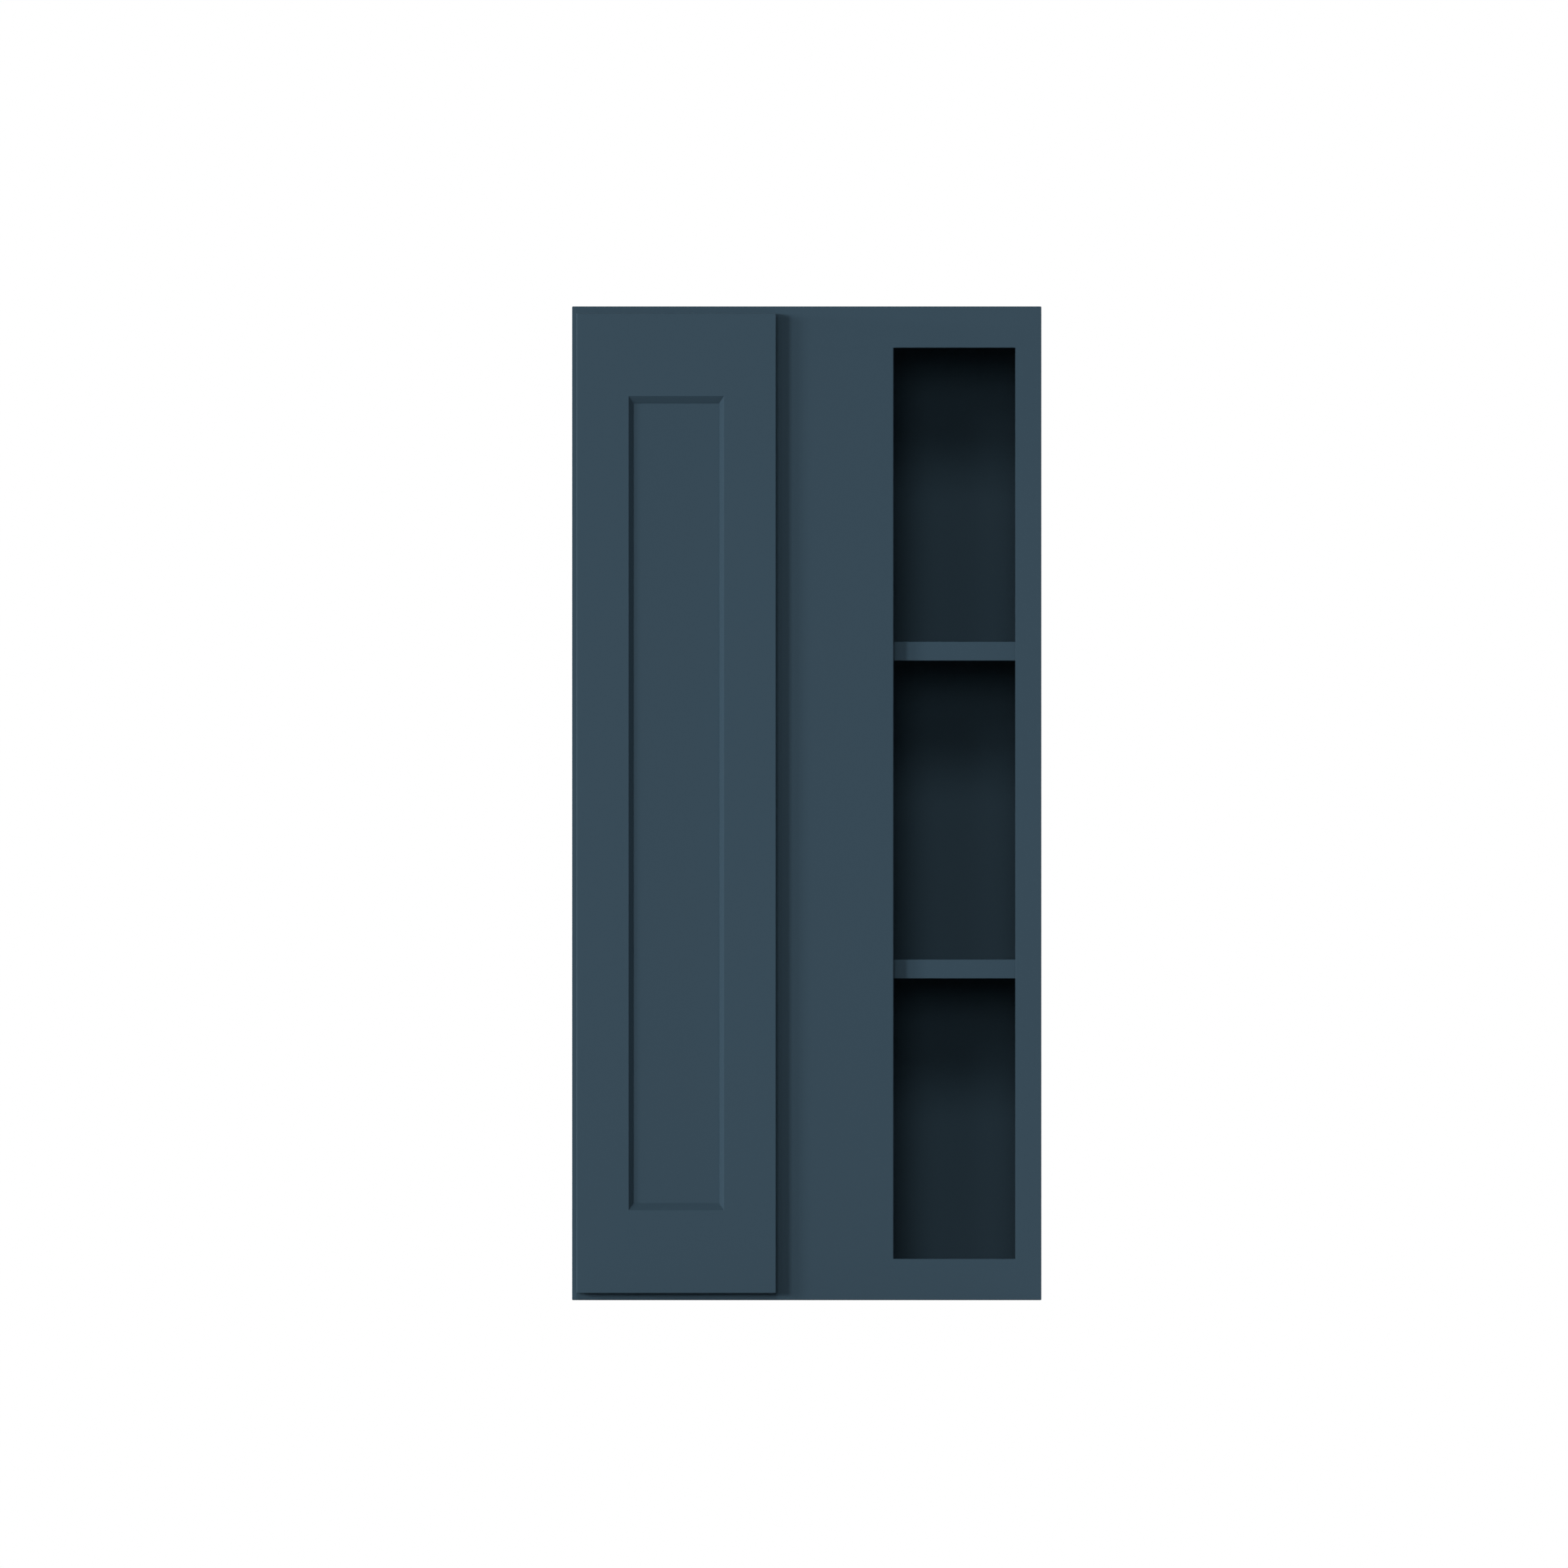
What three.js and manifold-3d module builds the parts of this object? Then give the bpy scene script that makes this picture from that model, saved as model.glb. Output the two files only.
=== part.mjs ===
// Corner wall cabinet: a face-frame box with one full-overlay recessed-panel door on the left,
// a wide blind stile in the middle and an open bay on the right, where the next run of cabinets
// meets it. Two loose shelves rest on pins inside.
//
// Millimetres, +Z up. x = 0 is the middle of the width. y = 0 is the wall, and the front faces -Y.
// z = 0 is the middle of the upper hanging rail, through which the cabinet is screwed to its wall.

import * as THREE from "three";
import { mergeVertices } from "three/addons/utils/BufferGeometryUtils.js";
import Module from "manifold-3d";

const wasm = await Module();
wasm.setup();

// ---------------------------------------------------------------------------------------------
// Driving dimensions
// ---------------------------------------------------------------------------------------------

// Whole cabinet
const CABINET_WIDTH = 431.8;
const CABINET_HEIGHT = 914.4;
const CABINET_DEPTH = 304.8; // from the wall to the front of the face frame

// Face frame
const FRAME_THICKNESS = 19.05;
const OUTER_STILE_WIDTH = 24;
const CENTRE_STILE_WIDTH = 128;
const BLIND_OPENING_WIDTH = 112;
const FRAME_RAIL_HEIGHT = 38.1;
const FRAME_TENON_LENGTH = 9.5;
const FRAME_TENON_THICKNESS = 6;
const FRAME_TENON_SETBACK = 5; // from the front of the frame to the tenon
const FRAME_TENON_SHOULDER = 7; // board left bare on both edges of each tenon

// Box behind the frame
const END_PANEL_THICKNESS = 12.7;
const END_PANEL_SETBACK = 4.8; // from the frame's edge in to the end panel's outer face
const END_PANEL_TONGUE = 5.5; // end panel let into the back of its stile
const DECK_THICKNESS = 12.7; // top and bottom panels
const DADO_DEPTH = 6.35; // decks let into the end panels
const BACK_THICKNESS = 6.35;
const BACK_GROOVE_DEPTH = 6.35;
const HANGING_RAIL_THICKNESS = 12.7;
const HANGING_RAIL_HEIGHT = 76.2;

// Shelves and their pins
const SHELF_THICKNESS = 17.5;
const LOWER_SHELF_HEIGHT = 313.5; // top faces, above the underside of the cabinet
const UPPER_SHELF_HEIGHT = 605.9;
const SHELF_CLEARANCE = 1.6; // shelf to the end panels, the back and the face frame
const PIN_HOLE_RADIUS = 2.5;
const PIN_HOLE_DEPTH = 8.5;
const PIN_HOLE_PITCH = 32;
const PIN_HOLES_EITHER_WAY = 2; // spare holes above and below the one in use
const PIN_HOLE_SETBACK = 37; // from the front and back edges of a shelf
const PIN_PEG_RADIUS = 2.5;
const PIN_PEG_LENGTH = 5.8; // stays behind the stile, out of sight from the front
const PIN_COLLAR_RADIUS = 3.8;
const PIN_COLLAR_THICKNESS = 0.9;

// Door
const DOOR_THICKNESS = 19.05;
const DOOR_OVERLAY = 20; // over each stile beside the door opening
const DOOR_REVEAL = 6.35; // rail left bare above and below the door
const DOOR_STILE_WIDTH = 48;
const DOOR_RAIL_HEIGHT = 76.2;
const STICKING_WIDTH = 4.4; // bevel round the panel, on the stiles
const RAIL_STICKING_WIDTH = 6.6; // the same bevel on the rails
const STICKING_DEPTH = 6.6;
const STICKING_STEP = 0.8; // upright step from the foot of the bevel to the panel
const DOOR_PANEL_THICKNESS = 6.35;
const DOOR_GROOVE_DEPTH = 9.5;
const DOOR_PANEL_PLAY = 0.8; // room for the panel at the bottom of its grooves
const DOOR_EDGE_EASING = 2; // chamfer that lets the hinge edge turn past the frame
const BUMPER_RADIUS = 4.5;
const BUMPER_THICKNESS = 2.2;
const BUMPER_INSET = 19; // from the door's top and bottom edges

// Concealed hinges
const HINGE_INSET = 101.6; // cup centres from the ends of the door
const CUP_BORE_RADIUS = 17.5;
const CUP_BORE_DEPTH = 14;
const CUP_EDGE_DISTANCE = 3; // door edge to the bore
const CUP_WALL = 1;
const FLANGE_THICKNESS = 1;
const FLANGE_RIM = 1.5; // flange past the bore
const EAR_RADIUS = 5.5;
const EAR_OFFSET = 9.5; // ears stand this far from the cup centre, away from the door edge
const CUP_SCREW_PITCH = 45;
const HINGE_AXIS_INSET = 8; // pin from the door's edge
const HINGE_AXIS_DEPTH = 10; // pin in front of the door's back face
const HINGE_PIN_RADIUS = 1;
const HINGE_PIN_LENGTH = 19;
const EYE_WALL = 1.1;
const ARM_WIDTH = 10;
const ARM_THICKNESS = 1.8;
const PIN_BOSS_WIDTH = 5;
const PLATE_HEIGHT = 45; // arm's plate on the inner edge of the stile
const PLATE_DEPTH = 15.5;
const PLATE_SETBACK = 1.2; // plate behind the front of the frame
const PLATE_SCREW_PITCH = 32;
const SCREW_SHANK_RADIUS = 1.6;
const SCREW_HEAD_RADIUS = 3.3;
const SCREW_HEAD_HEIGHT = 1.8;
const CUP_SCREW_LENGTH = 11.5;
const PLATE_SCREW_LENGTH = 14;

// Clearances
const GLUE_LINE = 0.1; // between flat wooden faces that are glued or pressed together
const FIT = 0.3; // round metal parts, and whatever turns, slides or lifts

const ROUND_SIDES = 32; // large round outlines
const SMALL_ROUND_SIDES = 12; // pins, screws and their holes

// ---------------------------------------------------------------------------------------------
// Planes and lines that several pieces share
// ---------------------------------------------------------------------------------------------

const LEFT = -CABINET_WIDTH / 2;
const RIGHT = CABINET_WIDTH / 2;
const CEILING = HANGING_RAIL_HEIGHT / 2; // underside of the top panel
const TOP = CEILING + FRAME_RAIL_HEIGHT;
const BOTTOM = TOP - CABINET_HEIGHT;
const FLOOR = BOTTOM + FRAME_RAIL_HEIGHT; // upper face of the bottom panel
const WALL = 0;
const FRAME_FRONT = -CABINET_DEPTH;
const FRAME_BACK = FRAME_FRONT + FRAME_THICKNESS;
const END_OUTER = RIGHT - END_PANEL_SETBACK; // distance of both end panels from x = 0
const END_INNER = END_OUTER - END_PANEL_THICKNESS;
const BACK_REAR = WALL - HANGING_RAIL_THICKNESS;
const BACK_FRONT = BACK_REAR - BACK_THICKNESS;

const RIGHT_STILE_EDGE = RIGHT - OUTER_STILE_WIDTH;
const CENTRE_STILE_RIGHT = RIGHT_STILE_EDGE - BLIND_OPENING_WIDTH;
const CENTRE_STILE_LEFT = CENTRE_STILE_RIGHT - CENTRE_STILE_WIDTH;
const LEFT_STILE_EDGE = LEFT + OUTER_STILE_WIDTH;

const DOOR_GAP = BUMPER_THICKNESS + FIT; // door's back face to the face frame
const DOOR_BACK = FRAME_FRONT - DOOR_GAP;
const DOOR_FRONT = DOOR_BACK - DOOR_THICKNESS;
const DOOR_LEFT = LEFT_STILE_EDGE - DOOR_OVERLAY;
const DOOR_RIGHT = CENTRE_STILE_LEFT + DOOR_OVERLAY;
const DOOR_TOP = TOP - DOOR_REVEAL;
const DOOR_BOTTOM = BOTTOM + DOOR_REVEAL;
const DOOR_PANEL_FRONT = DOOR_FRONT + STICKING_DEPTH + STICKING_STEP;
const DOOR_PANEL_BACK = DOOR_PANEL_FRONT + DOOR_PANEL_THICKNESS;

const HINGE_HEIGHTS = { upper: DOOR_TOP - HINGE_INSET, lower: DOOR_BOTTOM + HINGE_INSET };
const CUP_CENTRE = DOOR_LEFT + CUP_EDGE_DISTANCE + CUP_BORE_RADIUS;
const HINGE_AXIS_X = DOOR_LEFT + HINGE_AXIS_INSET;
const HINGE_AXIS_Y = DOOR_BACK - HINGE_AXIS_DEPTH;
const EYE_RADIUS = HINGE_PIN_RADIUS + FIT + EYE_WALL;
const PLATE_FRONT = FRAME_FRONT + PLATE_SETBACK;
const PLATE_BACK = PLATE_FRONT + PLATE_DEPTH;
const PLATE_SCREW_Y = FRAME_FRONT + FRAME_THICKNESS / 2 - PLATE_SETBACK;

// ---------------------------------------------------------------------------------------------
// Materials
// ---------------------------------------------------------------------------------------------

const paint = new THREE.MeshStandardMaterial({ color: 0x374956, roughness: 0.5, metalness: 0 });
const rawWood = new THREE.MeshStandardMaterial({ color: 0xd2b48c, roughness: 0.7, metalness: 0 });
const nickel = new THREE.MeshStandardMaterial({ color: 0xb9b6ae, roughness: 0.3, metalness: 1 });
const rubber = new THREE.MeshStandardMaterial({ color: 0xc9ccca, roughness: 0.6, metalness: 0 });

// ---------------------------------------------------------------------------------------------
// Geometry helpers
// ---------------------------------------------------------------------------------------------

// A closed BufferGeometry as a solid that can be cut and joined.
function solidFrom(geometry) {
  const bare = geometry.clone();
  bare.deleteAttribute("normal");
  bare.deleteAttribute("uv");
  const merged = mergeVertices(bare, 1e-4);
  return new wasm.Manifold(new wasm.Mesh({
    numProp: 3,
    vertProperties: Float32Array.from(merged.attributes.position.array),
    triVerts: Uint32Array.from(merged.index.array),
  }));
}

// The solid's faces as a BufferGeometry.
function geometryFrom(solid) {
  const faces = solid.getMesh();
  const geometry = new THREE.BufferGeometry();
  geometry.setAttribute("position", new THREE.BufferAttribute(faces.vertProperties, 3));
  geometry.setIndex(new THREE.BufferAttribute(faces.triVerts, 1));
  const flat = geometry.toNonIndexed();
  flat.computeVertexNormals();
  return flat;
}

// A box between two corners, given as [low, high] along each axis.
function box([x0, x1], [y0, y1], [z0, z1]) {
  const geometry = new THREE.BoxGeometry(x1 - x0, y1 - y0, z1 - z0);
  geometry.translate((x0 + x1) / 2, (y0 + y1) / 2, (z0 + z1) / 2);
  return solidFrom(geometry);
}

// An outline carried along an axis from one place to another. The outline's two coordinates are
// (x, y) for a run along Z, (y, z) for a run along X and (z, x) for a run along Y.
function prism(outline, axis, from, to) {
  const shape = new THREE.Shape(outline.map(([u, v]) => new THREE.Vector2(u, v)));
  const geometry = new THREE.ExtrudeGeometry(shape, { depth: to - from, bevelEnabled: false });
  geometry.translate(0, 0, from);
  const [x, y, z] = [new THREE.Vector3(1, 0, 0), new THREE.Vector3(0, 1, 0), new THREE.Vector3(0, 0, 1)];
  const bases = { x: [y, z, x], y: [z, x, y], z: [x, y, z] };
  geometry.applyMatrix4(new THREE.Matrix4().makeBasis(...bases[axis]));
  return solidFrom(geometry);
}

// A round outline for prism().
function circle(u, v, radius, sides) {
  return Array.from({ length: sides }, (_, i) => {
    const angle = ((i + 0.5) / sides) * 2 * Math.PI;
    return [u + radius * Math.cos(angle), v + radius * Math.sin(angle)];
  });
}

// A turned piece: profile points are [distance along the axis, radius], from tip to tip.
function turned(profile, sides) {
  const points = profile.map(([along, radius]) => new THREE.Vector2(radius, along));
  return new THREE.LatheGeometry(points, sides);
}

// One named piece of the cabinet.
function piece(name, solid, material) {
  const mesh = new THREE.Mesh(geometryFrom(solid), material);
  mesh.name = name;
  return mesh;
}

function joined(solids) {
  return solids.reduce((whole, solid) => whole.add(solid));
}

function cut(solid, cutters) {
  return cutters.reduce((rest, cutter) => rest.subtract(cutter), solid);
}

function grown([low, high], by) {
  return [low - by, high + by];
}

// ---------------------------------------------------------------------------------------------
// Face frame
// ---------------------------------------------------------------------------------------------

const FRAME_DEPTH = [FRAME_FRONT, FRAME_BACK];
const TENON_DEPTH = [
  FRAME_FRONT + FRAME_TENON_SETBACK,
  FRAME_FRONT + FRAME_TENON_SETBACK + FRAME_TENON_THICKNESS,
];

// Rail tenons run along X into the outer stiles, and the centre stile's run along Z into the rails.
const RAIL_SPAN = [LEFT_STILE_EDGE + GLUE_LINE, RIGHT_STILE_EDGE - GLUE_LINE];
const RAIL_TENON_SPAN = grown(RAIL_SPAN, FRAME_TENON_LENGTH);
const CENTRE_STILE_SPAN = [FLOOR + GLUE_LINE, CEILING - GLUE_LINE];
const CENTRE_TENON_WIDTH = [
  CENTRE_STILE_LEFT + FRAME_TENON_SHOULDER,
  CENTRE_STILE_RIGHT - FRAME_TENON_SHOULDER,
];
const CENTRE_TENON_SPAN = grown(CENTRE_STILE_SPAN, FRAME_TENON_LENGTH);
const centreTenonHole = box(
  grown(CENTRE_TENON_WIDTH, GLUE_LINE),
  grown(TENON_DEPTH, GLUE_LINE),
  grown(CENTRE_TENON_SPAN, GLUE_LINE),
);

function frameRail(low, high) {
  const height = [low, high];
  const tenonHeight = [low + FRAME_TENON_SHOULDER, high - FRAME_TENON_SHOULDER];
  const tenon = box(RAIL_TENON_SPAN, TENON_DEPTH, tenonHeight);
  const hole = box(
    grown(RAIL_TENON_SPAN, GLUE_LINE),
    grown(TENON_DEPTH, GLUE_LINE),
    grown(tenonHeight, GLUE_LINE),
  );
  const board = cut(box(RAIL_SPAN, FRAME_DEPTH, height).add(tenon), [centreTenonHole]);
  return { board, hole };
}

// The groove in the back of a stile that takes the front edge of the end panel.
function endPanelGroove(side) {
  const [inner, outer] = grown([END_INNER, END_OUTER], GLUE_LINE);
  const width = side < 0 ? [-outer, -inner] : [inner, outer];
  return box(width, [FRAME_BACK - END_PANEL_TONGUE, FRAME_BACK + 1], grown([BOTTOM, TOP], 1));
}

// Pilot holes for the two plate screws of each hinge, in the inner edge of the left stile.
function plateScrewHoles() {
  const start = LEFT_STILE_EDGE - PLATE_SCREW_LENGTH - FIT;
  const places = hingeScrewHeights(PLATE_SCREW_PITCH).map(({ z }) => z);
  return places.map((z) => prism(
    circle(PLATE_SCREW_Y, z, SCREW_SHANK_RADIUS + FIT, SMALL_ROUND_SIDES),
    "x", start, LEFT_STILE_EDGE + 1,
  ));
}

// Heights of a pair of screws at each hinge, with the words that name them.
function hingeScrewHeights(pitch) {
  return Object.entries(HINGE_HEIGHTS).flatMap(([hinge, centre]) => [
    { hinge, place: "top", z: centre + pitch / 2 },
    { hinge, place: "bottom", z: centre - pitch / 2 },
  ]);
}

function faceFrame() {
  const topRail = frameRail(CEILING, TOP);
  const bottomRail = frameRail(BOTTOM, FLOOR);
  const mortises = [topRail.hole, bottomRail.hole];
  const fullHeight = [BOTTOM, TOP];
  const leftStile = box([LEFT, LEFT_STILE_EDGE], FRAME_DEPTH, fullHeight);
  const rightStile = box([RIGHT_STILE_EDGE, RIGHT], FRAME_DEPTH, fullHeight);
  const centreStile = box([CENTRE_STILE_LEFT, CENTRE_STILE_RIGHT], FRAME_DEPTH, CENTRE_STILE_SPAN)
    .add(box(CENTRE_TENON_WIDTH, TENON_DEPTH, CENTRE_TENON_SPAN));
  return [
    piece("left_stile", cut(leftStile, [...mortises, endPanelGroove(-1), ...plateScrewHoles()]), paint),
    piece("right_stile", cut(rightStile, [...mortises, endPanelGroove(1)]), paint),
    piece("centre_stile", centreStile, paint),
    piece("top_rail", topRail.board, paint),
    piece("bottom_rail", bottomRail.board, paint),
  ];
}

// ---------------------------------------------------------------------------------------------
// Box: end panels, decks, back and hanging rails
// ---------------------------------------------------------------------------------------------

const DECK_WIDTH = [-(END_INNER + DADO_DEPTH), END_INNER + DADO_DEPTH];
const DECK_DEPTH = [FRAME_BACK + GLUE_LINE, WALL];
const DECK_HEIGHTS = {
  top: [CEILING, CEILING + DECK_THICKNESS],
  bottom: [FLOOR - DECK_THICKNESS, FLOOR],
};
const BACK_DEPTH = [BACK_FRONT, BACK_REAR];
const BACK_HEIGHT = [FLOOR - BACK_GROOVE_DEPTH, CEILING + BACK_GROOVE_DEPTH];
const BACK_WIDTH = [-(END_INNER + BACK_GROOVE_DEPTH), END_INNER + BACK_GROOVE_DEPTH];

// The grooves that take the back, wherever it meets an end panel or a deck.
const backGroove = box(
  grown(BACK_WIDTH, GLUE_LINE),
  grown(BACK_DEPTH, GLUE_LINE),
  grown(BACK_HEIGHT, GLUE_LINE),
);

const SHELF_TOPS = { upper: BOTTOM + UPPER_SHELF_HEIGHT, lower: BOTTOM + LOWER_SHELF_HEIGHT };
const SHELF_DEPTH = [FRAME_BACK + SHELF_CLEARANCE, BACK_FRONT - SHELF_CLEARANCE];
const PIN_PLACES = { front: SHELF_DEPTH[0] + PIN_HOLE_SETBACK, rear: SHELF_DEPTH[1] - PIN_HOLE_SETBACK };

// Height of the pins that carry a shelf with this top face.
function pinHeight(shelfTop) {
  return shelfTop - SHELF_THICKNESS - FIT - PIN_PEG_RADIUS;
}

function pinHoles(side) {
  const depth = [END_INNER - 1, END_INNER + PIN_HOLE_DEPTH];
  const [from, to] = side < 0 ? [-depth[1], -depth[0]] : depth;
  const holes = [];
  for (const shelfTop of Object.values(SHELF_TOPS)) {
    for (const y of Object.values(PIN_PLACES)) {
      for (let step = -PIN_HOLES_EITHER_WAY; step <= PIN_HOLES_EITHER_WAY; step += 1) {
        const z = pinHeight(shelfTop) + step * PIN_HOLE_PITCH;
        holes.push(prism(circle(y, z, PIN_HOLE_RADIUS, SMALL_ROUND_SIDES), "x", from, to));
      }
    }
  }
  return holes;
}

function endPanel(name, side) {
  const width = side < 0 ? [-END_OUTER, -END_INNER] : [END_INNER, END_OUTER];
  const depth = [FRAME_BACK - END_PANEL_TONGUE + GLUE_LINE, WALL];
  const dadoes = Object.values(DECK_HEIGHTS).map((height) => box(
    grown(DECK_WIDTH, GLUE_LINE),
    [depth[0] - 1, WALL + 1],
    grown(height, GLUE_LINE),
  ));
  const board = box(width, depth, [BOTTOM, TOP]);
  return piece(name, cut(board, [...dadoes, backGroove, ...pinHoles(side)]), paint);
}

function hangingRail(name, [low, high]) {
  const width = grown([-END_INNER, END_INNER], -GLUE_LINE);
  return piece(name, box(width, [BACK_REAR + GLUE_LINE, WALL], [low, high]), rawWood);
}

function carcass() {
  const decks = Object.entries(DECK_HEIGHTS).map(([place, height]) => piece(
    `${place}_panel`,
    cut(box(DECK_WIDTH, DECK_DEPTH, height), [backGroove]),
    paint,
  ));
  const upperRail = [CEILING - HANGING_RAIL_HEIGHT, CEILING - GLUE_LINE];
  const lowerRail = [FLOOR + GLUE_LINE, FLOOR + HANGING_RAIL_HEIGHT];
  return [
    endPanel("left_end_panel", -1),
    endPanel("right_end_panel", 1),
    ...decks,
    piece("back_panel", box(BACK_WIDTH, BACK_DEPTH, BACK_HEIGHT), paint),
    hangingRail("upper_hanging_rail", upperRail),
    hangingRail("lower_hanging_rail", lowerRail),
  ];
}

// ---------------------------------------------------------------------------------------------
// Shelves and shelf pins
// ---------------------------------------------------------------------------------------------

function shelf(name, top) {
  const width = grown([-END_INNER, END_INNER], -SHELF_CLEARANCE);
  return piece(name, box(width, SHELF_DEPTH, [top - SHELF_THICKNESS, top]), paint);
}

// A turned pin: its shank fills a hole, its collar stops at the panel and its peg carries the shelf.
const shelfPinShape = turned([
  [-PIN_HOLE_DEPTH + FIT, 0],
  [-PIN_HOLE_DEPTH + FIT, PIN_HOLE_RADIUS - FIT],
  [FIT, PIN_HOLE_RADIUS - FIT],
  [FIT, PIN_COLLAR_RADIUS],
  [FIT + PIN_COLLAR_THICKNESS, PIN_COLLAR_RADIUS],
  [FIT + PIN_COLLAR_THICKNESS, PIN_PEG_RADIUS],
  [FIT + PIN_PEG_LENGTH, PIN_PEG_RADIUS],
  [FIT + PIN_PEG_LENGTH, 0],
], SMALL_ROUND_SIDES);

function shelfPin(name, side, y, z) {
  const pin = new THREE.Mesh(shelfPinShape, nickel);
  pin.name = name;
  pin.rotation.z = side < 0 ? -Math.PI / 2 : Math.PI / 2;
  pin.position.set(side * END_INNER, y, z);
  return pin;
}

function shelves() {
  const pieces = [];
  for (const [which, top] of Object.entries(SHELF_TOPS)) {
    pieces.push(shelf(`${which}_shelf`, top));
    for (const [place, y] of Object.entries(PIN_PLACES)) {
      pieces.push(shelfPin(`${which}_shelf_pin_left_${place}`, -1, y, pinHeight(top)));
      pieces.push(shelfPin(`${which}_shelf_pin_right_${place}`, 1, y, pinHeight(top)));
    }
  }
  return pieces;
}

// ---------------------------------------------------------------------------------------------
// Door
// ---------------------------------------------------------------------------------------------

// Section of a door member, as [distance from its outer edge, y]. `width` is the flat front up to
// the bevel and `bevel` the bevel's width. Its inner edge carries the bevel, the step and the groove.
// `swell` grows every inner face by that much, which makes the section a cutter for its neighbour.
function stickingSection(width, bevel, swell, easing) {
  const inner = width + bevel + swell;
  const groove = inner - DOOR_GROOVE_DEPTH;
  const panel = [DOOR_PANEL_FRONT - GLUE_LINE + swell, DOOR_PANEL_BACK + GLUE_LINE - swell];
  return [
    [0, DOOR_FRONT],
    [width + swell, DOOR_FRONT],
    [inner, DOOR_FRONT + STICKING_DEPTH],
    [inner, panel[0]],
    [groove, panel[0]],
    [groove, panel[1]],
    [inner, panel[1]],
    [inner, DOOR_BACK],
    [easing, DOOR_BACK],
    [0, DOOR_BACK - easing],
  ];
}

const DOOR_HEIGHT_SPAN = [DOOR_BOTTOM, DOOR_TOP];

// A door stile, or with `swell` the space that a rail's end leaves free for it. Side -1 is the
// hinge stile, and 1 the free one.
function doorStileSolid(side, swell) {
  const easing = side < 0 ? DOOR_EDGE_EASING : 0;
  const section = stickingSection(DOOR_STILE_WIDTH, STICKING_WIDTH, swell, easing);
  const corners = easing > 0 ? section : section.slice(0, -1);
  const outline = corners.map(([across, y]) => [
    side < 0 ? DOOR_LEFT + across : DOOR_RIGHT - across,
    y,
  ]);
  return prism(outline, "z", ...grown(DOOR_HEIGHT_SPAN, swell));
}

// A door rail, coped to the stiles' sections. Side 1 is the top rail, and -1 the bottom one.
function doorRailSolid(side) {
  const section = stickingSection(DOOR_RAIL_HEIGHT, RAIL_STICKING_WIDTH, 0, 0).slice(0, -1);
  const outline = section.map(([across, y]) => [
    y,
    side < 0 ? DOOR_BOTTOM + across : DOOR_TOP - across,
  ]);
  const tenonEnd = DOOR_STILE_WIDTH + STICKING_WIDTH - DOOR_GROOVE_DEPTH + GLUE_LINE;
  const stock = prism(outline, "x", DOOR_LEFT + tenonEnd, DOOR_RIGHT - tenonEnd);
  return cut(stock, [doorStileSolid(-1, GLUE_LINE), doorStileSolid(1, GLUE_LINE)]);
}

// Bores for the hinge cups and pilot holes for their screws, from the back of the hinge stile.
function hingeBores() {
  const bores = Object.values(HINGE_HEIGHTS).map((z) => prism(
    circle(z, CUP_CENTRE, CUP_BORE_RADIUS, ROUND_SIDES),
    "y", DOOR_BACK - CUP_BORE_DEPTH, DOOR_BACK + 1,
  ));
  const pilots = hingeScrewHeights(CUP_SCREW_PITCH).map(({ z }) => prism(
    circle(z, CUP_CENTRE + EAR_OFFSET, SCREW_SHANK_RADIUS + FIT, SMALL_ROUND_SIDES),
    "y", DOOR_BACK - CUP_SCREW_LENGTH - FIT, DOOR_BACK + 1,
  ));
  return [...bores, ...pilots];
}

function doorPanel() {
  const stileEdge = DOOR_STILE_WIDTH + STICKING_WIDTH - DOOR_GROOVE_DEPTH + DOOR_PANEL_PLAY;
  const railEdge = DOOR_RAIL_HEIGHT + RAIL_STICKING_WIDTH - DOOR_GROOVE_DEPTH + DOOR_PANEL_PLAY;
  return box(
    grown([DOOR_LEFT, DOOR_RIGHT], -stileEdge),
    [DOOR_PANEL_FRONT, DOOR_PANEL_BACK],
    grown(DOOR_HEIGHT_SPAN, -railEdge),
  );
}

// A soft dot on the back of the door that meets the centre stile.
function bumper(name, z) {
  const x = (CENTRE_STILE_LEFT + DOOR_RIGHT) / 2;
  const outline = circle(z, x, BUMPER_RADIUS, 2 * SMALL_ROUND_SIDES);
  return piece(name, prism(outline, "y", DOOR_BACK + GLUE_LINE, DOOR_BACK + BUMPER_THICKNESS), rubber);
}

function door() {
  return [
    piece("door_hinge_stile", cut(doorStileSolid(-1, 0), hingeBores()), paint),
    piece("door_free_stile", doorStileSolid(1, 0), paint),
    piece("door_top_rail", doorRailSolid(1), paint),
    piece("door_bottom_rail", doorRailSolid(-1), paint),
    piece("door_panel", doorPanel(), paint),
    bumper("upper_door_bumper", DOOR_TOP - BUMPER_INSET),
    bumper("lower_door_bumper", DOOR_BOTTOM + BUMPER_INSET),
  ];
}

// ---------------------------------------------------------------------------------------------
// Hinges
// ---------------------------------------------------------------------------------------------

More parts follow.
